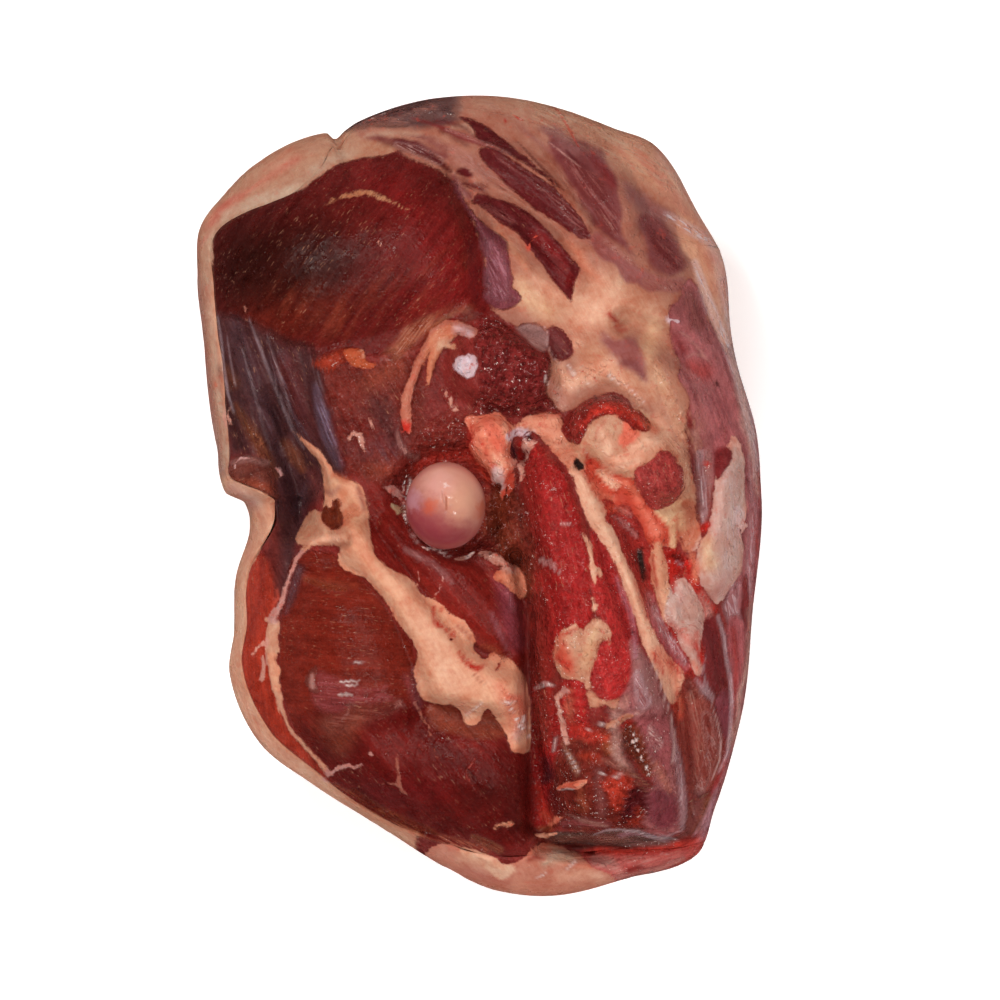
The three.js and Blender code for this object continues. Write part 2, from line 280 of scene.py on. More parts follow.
# %% Large forms: (rise, shoulder, spine) and (depth, shoulder, spine)
FORMS = [
    (10, 26, [(-52, 72, 28), (-24, 77, 27)]),  # rump
    (9, 20, [(-40, -42, 21), (-38, -58, 23)]),  # thick flank
    (7, 20, [(-32, -74, 16), (-26, -84, 18), (-2, -86, 19)]),  # lower round
    (5, 7, [(-24, -10, 7), (-8, -27, 10), (5, -40, 8)]),  # hip muscle
    (7, 6, [(-38, -12, 7), (-22, -32, 7), (-8, -54, 10), (6, -59, 8)]),  # seam fat
    (8, 6, [(3, 39, 13), (13, 37, 11)]),  # severed stump
    (5, 5, [(4, 17, 8), (6, 8, 6)]),  # torn fat
    (9, 8, [(22, 6, 9), (27, -15, 12), (33, -40, 14), (34, -60, 13)]),  # inner band
    (15, 13, [(48, -50, 10), (45, -72, 17), (40, -86, 19)]),  # shank sheath
    (6, 6, [(64, -45, 8), (67, -66, 9), (68, -82, 7)]),  # outer thigh
    (5, 6, [(75, 4, 8), (71, -22, 9)]),  # side lobe
    (8, 7, [(38, 20, 12), (54, 8, 11)]),  # joint fat
    (7, 5, [(28, 8, 6), (38, -12, 6), (46, -28, 6), (54, -50, 6)]),  # long tendon
    (6, 16, [(42, 64, 24), (60, 30, 17)]),  # flank
    (6, 6, [(6, 84, 7), (18, 76, 8), (29, 64, 7)]),  # first strip
    (6, 6, [(5, 101, 7), (18, 93, 8), (30, 82, 7)]),  # second strip
    (7, 7, [(26, 106, 8), (36, 94, 10), (44, 82, 8)]),  # third strip
    (4, 6, [(-68, 46, 7), (-64, 22, 7)]),  # silverskin fold
]
HOLLOWS = [
    (13, 12, [(-62, 26, 9), (-54, 6, 13), (-54, -8, 10)]),  # groin hollow
    (4, 7, [(-9.7, -2.3, 20), (-8.7, -2.3, 20)]),  # socket
    (5, 6, [(-8, 96, 5), (0, 78, 6), (2, 60, 6)]),  # rump edge
    (10, 5, [(11, -18, 4), (14.4, -36, 4.4), (15.4, -62, 4.6), (18, -98, 7)]),  # main cleft
    (13, 5, [(19, -105, 4.5), (40, -107, 6.5), (60, -104, 5)]),  # shank ledge
    (5, 5, [(11, 14, 4), (14, 11, 4)]),  # vessel hole
    (3, 4, [(45, -12, 4), (52, -34, 4)]),  # blood channel
    (4, 5, [(43, -68, 4), (49, -82, 5)]),  # sheath slit
    (6, 5, [(60, -60, 3.4), (62, -80, 4.4), (64, -98, 5)]),  # thigh groove
    (5, 6, [(44, 52, 6), (60, 44, 7), (78, 26, 7)]),  # flank fold
]


def large_relief(x, y):
    """The forms, joined as the fifth root of the sum of their fifth powers, less every hollow."""
    total = 0.0
    for rise, shoulder, spine in FORMS:
        total = total + (rise * dome(depth_in_spine(x, y, spine) / shoulder)) ** 5
    height = total**0.2
    for depth, shoulder, spine in HOLLOWS:
        height = height - depth * smoothstep(0, shoulder, depth_in_spine(x, y, spine))
    return height


print(len(FORMS), "forms and", len(HOLLOWS), "hollows")

# %% [markdown]
# ## The colours
#
# Raw lamb runs from nearly black maroon, where the cut has dried, through brick red to mauve under
# silverskin. The fat runs from cream to peach, with blood in it. Each colour has a name, so that the
# layers below read like a painter's notes. The numbers are linear light, as Blender's sockets take it.

# %% Tints: name, then linear red, green and blue in thousandths
# The glint white tint is painted highlight: the layers lay it as the bright lines and specks of glints on wet
# parts.
TINT_LIST = """
raw 190 20 17, rump 112 8 7, rump dark 26 4 3, rump bright 200 9 9, brown 150 14 8, tan 380 150 75,
silver dark 62 18 19, silver 90 48 60, lump 135 30 22, raw brown 145 16 11, ember 260 45 22,
tendon 460 150 95, white 600 350 330, pink white 480 220 165, cream 500 230 140, pale cream 660 350 230,
peach 440 180 105, rim 540 260 165, seam 640 290 175, yellow 420 190 95, orange fat 540 170 95,
pink fat 660 150 92, rose 620 310 240, dark plum 125 20 20, membrane 180 40 50, strip 118 7 8,
mauve 340 90 92, pale mauve 440 230 205, black skin 55 20 20, stump 165 15 14, thick flank 155 13 7,
thick purple 190 35 30, lower 105 6 5, band red 320 28 14, hip 170 11 8, hip mauve 330 38 34,
bright 310 14 13, berry 360 21 20, dark 60 6 5, blood 420 16 12, fresh blood 520 34 22,
blood orange 560 95 50, sheath 300 85 85, sheath red 330 50 42, skin 320 70 74, lip 520 190 125,
lip red 480 80 70, socket 160 15 11, top fat 415 195 120, beige 450 275 190, rim left 385 190 130,
sheen 200 135 195, pale silver 320 220 235, amber 150 42 16, dull ember 230 60 24, blue black 26 8 12,
flap red 250 26 13, flap orange 400 75 30, tendon orange 500 165 88, lilac 600 430 450,
wet white 920 760 700, salmon 660 185 110, bright cream 700 350 230, cream branch 620 240 150,
green black 30 14 12, brown fat 310 112 80, warm fat 580 250 148, warm brown 360 135 88, maroon 92 9 10,
maroon red 180 18 19, plum grey 240 78 72, streaky plum 185 44 42, tan mauve 340 125 92, dusk 270 80 70,
grey membrane 290 130 118, mauve red 360 75 80, blue white 600 460 470, white pink 640 400 365,
crescent 200 16 13, brown floor 120 16 7, crimson 340 26 21, yellow cream 620 340 195,
ember fat 430 125 70, mauve cream 540 315 260, dusky fat 470 215 180, orange red 520 66 37,
brick 450 60 36, brown streak 250 42 32, green cream 390 255 150, warm streak 300 100 70,
fold mauve 300 68 72, purple muscle 205 34 44, lilac edge 450 200 235, dried skin 125 56 50,
speckled brown 180 30 16, ledge brown 100 48 40, deep orange 400 34 19, rust 310 64 26
"""
TINTS = {}
for words in (entry.split() for entry in TINT_LIST.replace("\n", " ").split(",")):
    TINTS[" ".join(words[:-3])] = tuple(int(word) / 1000 for word in words[-3:])
print(len(TINTS), "tints")

# %% [markdown]
# ## The layers of the cut face
#
# The muscles, seams and membranes are too many and too fine to model one by one. They are laid on as
# a painter would lay them, each layer over the ones before it, and the same layers also raise or
# lower the face. A line of text holds a layer: its kind and tint, its options, and after the colon
# its shape, as x y or x y r with commas between the points. `|` starts one more shape of that kind.
#
# - `lean` paints bare muscle and removes the fat and the membrane there,
# - `fat` lays fat on the muscle,
# - `film` stretches a membrane over it, all over or in streaks along the grain,
# - `wash` tints the muscle softly, `glaze` the fat and `stain` both,
# - `blood` stains both, and `form` only changes the height.
#
# The first bare number is `soft`, half the width of the blurred edge, and the second `part`, the
# strength of the tint. `up` raises the shape, over `shoulder` from its edge. `rag` is how far noise
# moves the edge, `feather` how far it frays, `grain` the fibres' direction in degrees, `coarse` how
# roughly they are cut, `wet` how moist the surface is, `streak` how far a film is torn into streaks,
# and `streaked` the direction of the streaks that a tint is broken into.

# %% Reading the layers
LAYERS = []


def add_layers(region, text):
    """Adds a layer (kind, tint, options, shape) for each shape in the text. A line that starts with
    spaces goes on from the one above it."""
    before = len(LAYERS)
    for line in text.replace("\n  ", "").splitlines():
        if not line or line[0] == "#":
            continue
        head, _, shapes = line.partition(":")
        name, _, words = head.partition(",")
        kind, _, tint = name.partition(" ")
        words, options = words.split(), {}
        for key in ("soft", "part"):
            if words and not words[0][0].isalpha():
                options[key] = float(words.pop(0))
        options.update(zip(words[::2], map(float, words[1::2])))
        for shape in shapes.split("|"):
            LAYERS.append((kind, tint, options, [tuple(map(float, p.split())) for p in shape.split(",")]))
    print(region, "has", len(LAYERS) - before, "layers")

# %% [markdown]
# ## The rump and the silverskin hollow
#
# The rump is the large dark muscle at the upper left, with the pale outer fat round it. Beside it a
# pocket is lined with silverskin, and a tendon crosses its end. Wide washes give the rump its slow
# changes of red, and narrow films the furrows of the silverskin.

# %% Upper left: rump, silverskin hollow, tendon
# a painted glint: the pink-white strip of highlight below the lilac patch
# painted glints: a bright line along the lump's top edge and a curl at its right end
# painted glints: two white specks of highlight at the top of the hollow
# painted shade: the deep end of the groin hollow, washed nearly black
add_layers("The upper left", """
# the outer fat, and the fell that runs on from it under the rump's edge
fat top fat, up 0 rag .3 feather .5: -88 60,-88 84,-78 98,-62 110,-46 116,-34 118,-24 112,-15 108,-15 103.6,
  -24 103.6,-28 102,-36 101,-41 100,-45 98,-47.5 96,-50 94,-53 90.5,-58 89,-67 86,-76 82,-79.5 78,-80 66
glaze orange fat, 4 .5 streaked 38: -80 84 2,-70 95 3,-58 102 3
glaze lip red, 2 .45 streaked 36: -83 76 1,-76 88 2,-64 97 2,-55 101 1
glaze beige, 1.6 .85: -81 62 .8,-80.5 76 1.2,-76 83.6 1.6,-67 87.8 1.8,-58 90.8 1.6,-53 93 1.5,-49.5 97 1.6,
  -44 100.8 1.5,-38 102.6 .8
glaze rim left, 2.5: -84 62 3,-83 44 3,-79 18 3,-76 4 3
glaze warm brown, 1.2 .7: -84.6 76 .8,-84 62 .8,-82.6 48 .8,-81 34 .8,-79.8 22 .6
glaze warm brown, .8 .8: -79 46 .4,-77.8 34 .6,-76.4 24 .8,-75.6 14 .6
glaze beige, 1 .6: -80 50 .6,-78.5 34 .7,-76.6 20 1,-75.6 10 1.2
glaze pale mauve, 1.6 .6: -85 64 .6,-83.5 46 .8,-80.6 24 .8,-78 8 .8
glaze blood orange, .6 .7: -79.2 34 .3,-79 33 .5
lean rump, .5 grain 52 rag .5: -79.6 76,-78.6 80,-76 83,-72 85.4,-67 87.6,-62 89.2,-57 90.4,-53 91.4,-50 94,
  -47.5 96,-45 98,-41 100,-36 101,-28 102,-24 103,-20 100.6,-10 97.5,-5 90,0 80,1 70,2 60,4 53,-6 52,-20 44,
  -32 42,-50 42,-62 44,-79 54,-79.4 65
wash rump dark, 18: -68 70 16,-52 76 10
wash rump dark, 12 .85: -62 60 12,-46 68 8
wash rump dark, 7 .7: -58 56 5,-48 57 5
wash rump bright, 14 .9: -14 74 4,-6 64 6,-16 56 3
wash rump bright, 6 .6: -36 96 1,-26 92 3,-20 84 2
wash brown, 9 .7: -66 50 6,-46 56 4
wash ember, 8 .35 streaked 50: -30 60 4,-18 62 6,-8 70 3
wash ember, 6 .3 streaked 60: -56 58 5,-40 52 7
fat yellow, up .5 rag .3 shoulder 1 feather .5: -46 87 .1,-42 89.4 .4,-36 90.5 .75,-31 90.1 .7,-27 88.6 .5,
  -21.5 85.6 .1
fat pink white, up .3 rag .4 wet 1: -30 76 .3,-29.3 75.2 .5
fat pink white, up .3 rag .3 wet 1: -70.2 56.6 .2,-69.8 55.6 .45 | -70 53.4 .35,-69.6 52.8 .3
# the furrowed hollow under silverskin
lean silver dark, 2.5 grain -66 rag 1: -81 56,-70 53,-60 47,-50 45,-46 38,-43 26,-40 14,-40 6,-46 2,-52 -6,
  -57 -38,-63 -34,-62.5 0,-62 6,-66 11,-74 12,-75 12,-77.4 30,-79 45
form, up -1.5 shoulder 2: -77 46 1,-74.5 28 1.5,-72 14 1
form, up 2 shoulder 2.6: -71 50 1.2,-66 32 2.6,-58 12 1.6
form, up -2.6 shoulder 2.4: -64 46 1,-59 28 2,-53 10 1.6
form, up 2.4 shoulder 3: -51 43 1.5,-47 26 3.2,-41.5 10 2.2
form, up -2.5 shoulder 6: -60 16 3,-55 4 4,-52 -6 4
wash brown, 4 .5: -58 40 2,-54 26 2,-50 16 1
wash rump dark, 3 .7: -77 40 1,-75 26 1.4,-72 16 1
wash ember, 2 .35: -69 20 1,-65 12 1.4
film silver, 2.5 .6 streak .7: -73 52 1,-69 38 2,-63 22 2,-58 8 1
film silver, 2 .7 streak .9: -60 40 3,-55 24 2.5,-50 14 1
film sheen, 1.4 .75 streak .7: -49 33 .5,-47.4 26 1.6,-45.4 19 2,-41.6 10 1.4
wash amber, 2 .85: -77 38 1.2,-74 34 1.6
film silver dark, 2 .8: -77 38 1,-74 34 1.4
film amber, 1.5 .85 streak .6: -73 27 .8,-68 19 1.8,-63.4 11 1.4,-61 6 .8
film dull ember, 1.6 .85 streak .4: -58 16 1,-55 11.6 1.8,-53 8 1
film pale silver, .5 .75 streak .3: -78.4 54 .15,-77.2 46 .35,-76.6 38 .35,-75.4 31 .35,-73.6 25 .15
film pale silver, .4 .6 streak .3: -75.6 48 .1,-74.4 40 .25,-73 33 .1
film pale silver, .5 .75 streak .25: -69 53 .15,-66 45.4 .35,-62.4 36 .4,-59.4 28 .45,-56 20 .45,
  -52.6 14.4 .3
film pale silver, .4 .5 streak .4: -71 44 .1,-67.6 32 .25,-64.6 20 .25,-62.4 14 .1
film pale silver, .4 .45 streak .5: -63.6 48 .1,-61 40 .25,-58 30 .25,-56 22 .1
film pale silver, .5 .7 streak .4: -48.6 37 .1,-45.8 30 .3,-42.4 22 .4,-39.6 15 .4,-37 9.4 .3,-35 6.4 .15
fat pink white, up .3 rag 1 wet 1 feather .6: -74.4 26 .2,-75 23.4 .45,-74.6 21.6 .25
fat tan, up .3 rag 1 wet 1 feather .6: -68.2 20 .1,-66.8 17.6 .5,-65.6 15 .1
wash blue black, 5 .6: -57.6 5 1.5,-55 -2 2.5,-54 -7 1.5
wash brown, 1.6 .6 streaked -76: -60.6 4 1,-60 -6 1,-60.6 -16 1
film silver, 1.5 .5 streak .5: -51.6 4 .4,-53.6 -.6 .9,-55.6 -5 .3
wash thick purple, 2.5 .45: -50 7 1.2,-48 1 1.6,-47 -4 1.2
fat seam, up 1.2 rag .5 shoulder 1.3: -55.6 19 .15,-53 16.8 .5,-50 14.6 1.1,-47.6 12 1,-45.2 7.6 1.3,
  -44 3.6 1.7
lean lump, .8 up 2.2 shoulder 3 grain 20 rag .5 wet .6: -75.6 9,-73 11.8,-68 11.8,-64 10,-61.6 8,-60.8 3,
  -60 -1.6,-66 0,-72 2,-77 2.6
wash ember, 1.6 .85: -74 4.6 .8,-68 3.8 .9,-63 2 .8
film pale mauve, 1.2 .5: -74 10 .5,-69 11.2 .6,-64 9.6 .5
fat white, up .2 rag .5 wet 1: -73.6 8.4 .1,-73 10.2 .3,-71.6 11.2 .3,-69 11.2 .1
fat white, up .5 rag .8 wet 1: -60.9 8.3 .3,-60 7.6 .5,-59.2 6.4 .4,-60 5.8 .2
# the floor of the hip, between the hollow and the ball
lean raw brown, 2 grain -60 coarse .5 rag 1.5: -47 43,-38 40,-31 38,-24 42,-17 40,-15 24,-18 12,-24 3,-34 4,
  -41 7,-43 20,-47 33
wash ember, 4 .6: -33 34 2,-26 38 3
wash lower, 4 .7: -40 22 2,-30 22 3,-26 12 2
wash silver dark, 5 .7: -30 27 3,-24 16 2
film silver, 3 .4 streak .8: -40 14 1,-30 14 3,-22 10 2
wash ember, 4 .5: -32 8 2,-24 8 2
wash tan, 4 .6 streaked 35: -26 44 1,-21 47 2,-15 51 1.4,-4 55 .6
wash rust, 4 .75: -24 44 1,-20 48 1.6,-14 51 .8
film peach, 1.4 .55 streak 1 grain 52: -25 42 1,-21 48 2.4,-15 53 1.2
lean flap red, up 1 shoulder 2 rag .5 wet .7: -51 40.4,-47 41.5,-44 43,-40 44.2,-38.5 42,-41 40,-43 38,
  -46 37.4,-49 38.8
fat flap orange, up 1.6 shoulder 1.6 rag .5 wet .7: -41.4 43.6,-37 44.4,-34.3 43.7,-34 40.6,-31 40,
  -30.3 38.1,-36 38.1,-39.5 40.3
glaze pale cream, .5 .8: -35.6 44 .2,-34.5 43.2 .5,-34.4 41.4 .2
fat pink white, up .9 rag .6 wet 1: -39 17 .35,-38 18.8 .5,-36 18.6 .9,-35 16 .9,-34.4 13.4 .2
fat pink white, up .3 rag .6 wet 1: -33 23 .2,-32.2 21 .4,-31.6 19.6 .1
fat tendon, up 2.4 shoulder 1.6 rag .35 wet .5: -2.5 49 1.9,-6 50.4 2,-10 51 1.7,-13.5 48.5 1.6,-16 44 1.4,
  -18.5 39 1.2,-20.5 33.5 1.2,-22 28 1.5,-22 23 1.6,-21.5 19.5 1.1
fat tendon orange, up 1.8 shoulder 1.5 rag .35 wet .5: -8.5 48.4 1.5,-12 46.4 1.9,-13.8 42 1.5,-14.8 37 1,
  -15.6 32.6 .25
fat cream, up 1 shoulder .9 rag .3: -11 45.2 .7,-8.5 45 .8,-5.8 44 .2
glaze lilac, 1.6 .8: -6.5 50 1,-3.4 48.8 1.4
fat fresh blood, up .6 rag .8 wet 1: -22.6 21 .5,-23.4 19.4 .7
fat lilac, up 1.6 shoulder 1.2 rag .5 wet 1: -7.6 41.4,-5 42.4,-1 42.4,-.6 39,-2 35.4,-4 34.8,-6.2 36.4,
  -8 38
form, up -.5 shoulder .6: -6 41 .2,-4.4 38 .3,-2.4 36.4 .1
fat pink white, up 1 rag .4 wet 1: -11.4 32.6 .4,-10 31 .8,-8.6 29.4 .6,-8.2 27.4 .5,-7.2 25.2 .7,
  -5.4 24.4 .8
""")

# %% [markdown]
# ## Around the ball
#
# The ball of the thigh bone sits in a socket. Above it are the severed stump of a muscle and torn
# crumbs of fat. Their edges are ragged, so these layers have a large `rag` and many small specks.

# %% Around the ball: socket, stump, torn fat
# painted glints along the wet rims of the socket
# painted glints: bright dashes down the socket's left rim and a white line along its bottom
# painted shade: a dark gap under the rim
# painted shade: a small dark pocket at the tendon's end, lowered and washed nearly black
# painted shadow: the black slit beside the vessel
add_layers("The middle", """
lean socket, 2 grain 0 coarse .6 rag 1 wet .7: -24 10,-19 18,-12 24,-2 26,8 22,10 8,16 2,18 -8,14 -18,6 -20,
  -6 -18,-20 -14,-28 -10,-32 0
wash raw, 3 .9: -23 2 1,-22 -10 1,-8 14 1,2 0 2,4 -12 2
film dusky fat, .5 .8 streak .8 grain -70: -24.6 19 .4,-24 16 .6,-22 13 .8,-19.6 11.4 .6,-16.6 11.8 .3
film wet white, .3 .85 streak .5: -20.6 5.4 .15,-21.4 2 .35,-21.8 -1 .25 | -21.6 -5 .2,-21 -7 .35,
  -20.4 -8.6 .2
film white pink, .4 .8 streak .6: -20.8 -10.6 .3,-19.6 -13 .7,-17.6 -15.4 .5
film wet white, .3 .95 streak 0: -17.2 -15.9 .2,-14.4 -15.7 .4,-11.4 -16.8 .5,-8.4 -18.1 .25
wash fresh blood, 2 .7: -19 8 .6,-14 11.6 .8,-4 12.4 1.2,1 8 1
wash blood orange, 1.5 .6: 2.4 -1 .5,3 -6 .8,1.6 -11 .5
lean stump, .6 grain 75 coarse 1 rag .6 wet 1: -.3 54,4 53,8 50.8,12 47.5,16.5 43.5,20.5 41.4,21.8 39,
  21.6 36,19.8 33.4,21.5 30,24.6 25,19 23.8,12 24,3 23.6,-1.4 25,-1 30,-.2 36,-.6 43,-.3 50
form, up -.9 shoulder .9: 2 53 .1,6 46 .4,4 37 .3,6 29 .1 | 9 50 .1,13 42 .4,12 33 .3,15 25 .1
form, up -.8 shoulder .8: 0 41 .1,8 39 .3,16 36 .3,20 35 .1 | 1 31 .1,9 31 .3,18 28 .1
fat salmon, up 2.4 shoulder 2.2 rag .8 wet 1: -4.6 22,-4 24.4,1 24.6,6 24.4,9.4 22.4,11.4 20,10 17.4,9 14.6,
  9 11.6,11 9.6,10 7.6,8.4 5.4,7.6 1,6.8 -1.8,5.4 1.6,4 4.6,2 7.4,-1 9.6,-2.4 12,-3.4 14.6,-1.6 17
form, up 1 shoulder 1: 1 21 .2,3 16 .5,5.6 10 .6,6.6 3.4 .2
form, up -1.3 shoulder .9: 4.8 22 .2,6 17.4 .4,7.2 13 .2
form, up -1 shoulder .9: -3 20 .2,.4 17.6 .3,1 13.4 .2
glaze bright cream, 1 .85: 3 21 .6,4.4 16 1.2,5.6 11 1.4,6.8 6.6 1,6.6 1 .4
glaze bright cream, 1 .7: 7.6 21.6 .5,8.6 18 .8,7.8 14 .5
stain deep orange, 1.2 .8: -4 11 .6,-1 9.6 .8,1.4 7 .8,3 3.6 .6
fat cream branch, up 2 shoulder 2 rag .7 wet .7: 10.6 21.4,14 24,19 25,24.6 25,25.6 21.4,27 18.6,31.4 16.6,
  33 13.4,31 8,28.6 7.6,25.6 11.6,22.4 15,18.6 18,14.6 19.4,12 19
form, up -.9 shoulder .8: 15 22 .1,19 20.4 .3,24 19 .1
fat rose, up 1.4 rag .7 wet 1: 12.2 9 .9,13.8 6.4 1.2,13.6 4.6 .4
fat rose, up 1.4 rag .6 wet 1: 15.2 11.6 .7,16.6 14.4 1,15.4 17.6 .5
fat orange red, .6 up .4 rag .8 wet 1: 9.4 6 .8,9 3 1.4,8.6 .8 1
lean blue black, up -1.6 shoulder 1 rag .4 wet 1: 9.4 16.4 .4,10.2 14 .9,10.8 11.4 .5
lean blood, up -.8 shoulder 1 rag .5 wet 1: 12.2 15.6 .4,12.4 13 .7,12 10.6 .4
fat rose, up 1.2 shoulder 1 rag .5 wet 1: 13.4 17 .4,14.6 15 .8,15.6 12.8 .8,14.4 11 .5,13 10.4 .3
lean blue black, up -.8 shoulder .6 rag .3 wet 1: 14.4 18.6 .3,15.2 17 .4
fat lilac, up .8 rag .5 wet 1: 9.4 17.6 .3,11.6 18.6 .6,14.4 18.2 .4
fat rose, up .6 rag .3 wet 1: 12.9 15.6 .2,13 13 .3
lean green black, up -2.6 shoulder 1.3 rag .5 wet 1: 27.8 12,30.6 11.8,31.8 9.4,30.4 6.8,28.6 7,27.4 9.6
fat bright cream, up .8 rag .4: 26.6 12.6 .5,26.2 9.6 .5,27.6 6.4 .5,30 5.6 .4
# wet rims of the socket
fat wet white, up .5 rag .15 wet 1 feather .12: -21.6 6.6 .15,-22.8 3 .3,-22.9 -2 .25,-22.4 -6 .35,
  -21.8 -9 .15
fat wet white, up .4 rag .4 wet 1 feather .12: -21.4 -10.6 .2,-20.6 -12.4 .5,-19.6 -14 .3
fat wet white, up .5 rag .15 wet 1 feather .12: -18.4 -14.9 .2,-16 -15.8 .35,-13.6 -15.9 .3,-11.4 -17 .4,
  -9.2 -18 .25
fat pink white, up .7 rag .5 wet 1: -7.6 -19 .3,-5.6 -18.8 .7,-2.6 -17.8 .5,-1 -16.6 .2
fat wet white, up .5 rag .2 wet 1 feather .12: -2.6 -17.8 .15,.6 -17.6 .35,3.4 -18.4 .5,5.4 -19.6 .3
fat pink white, up .9 rag .5 wet 1: 2 -18.4 .4,5 -19.6 .9,7.4 -20.8 .9,8.8 -22 .3
lean green black, up -1 rag .5 wet 1: 5.6 -22 .3,7.6 -22.4 .6
""")
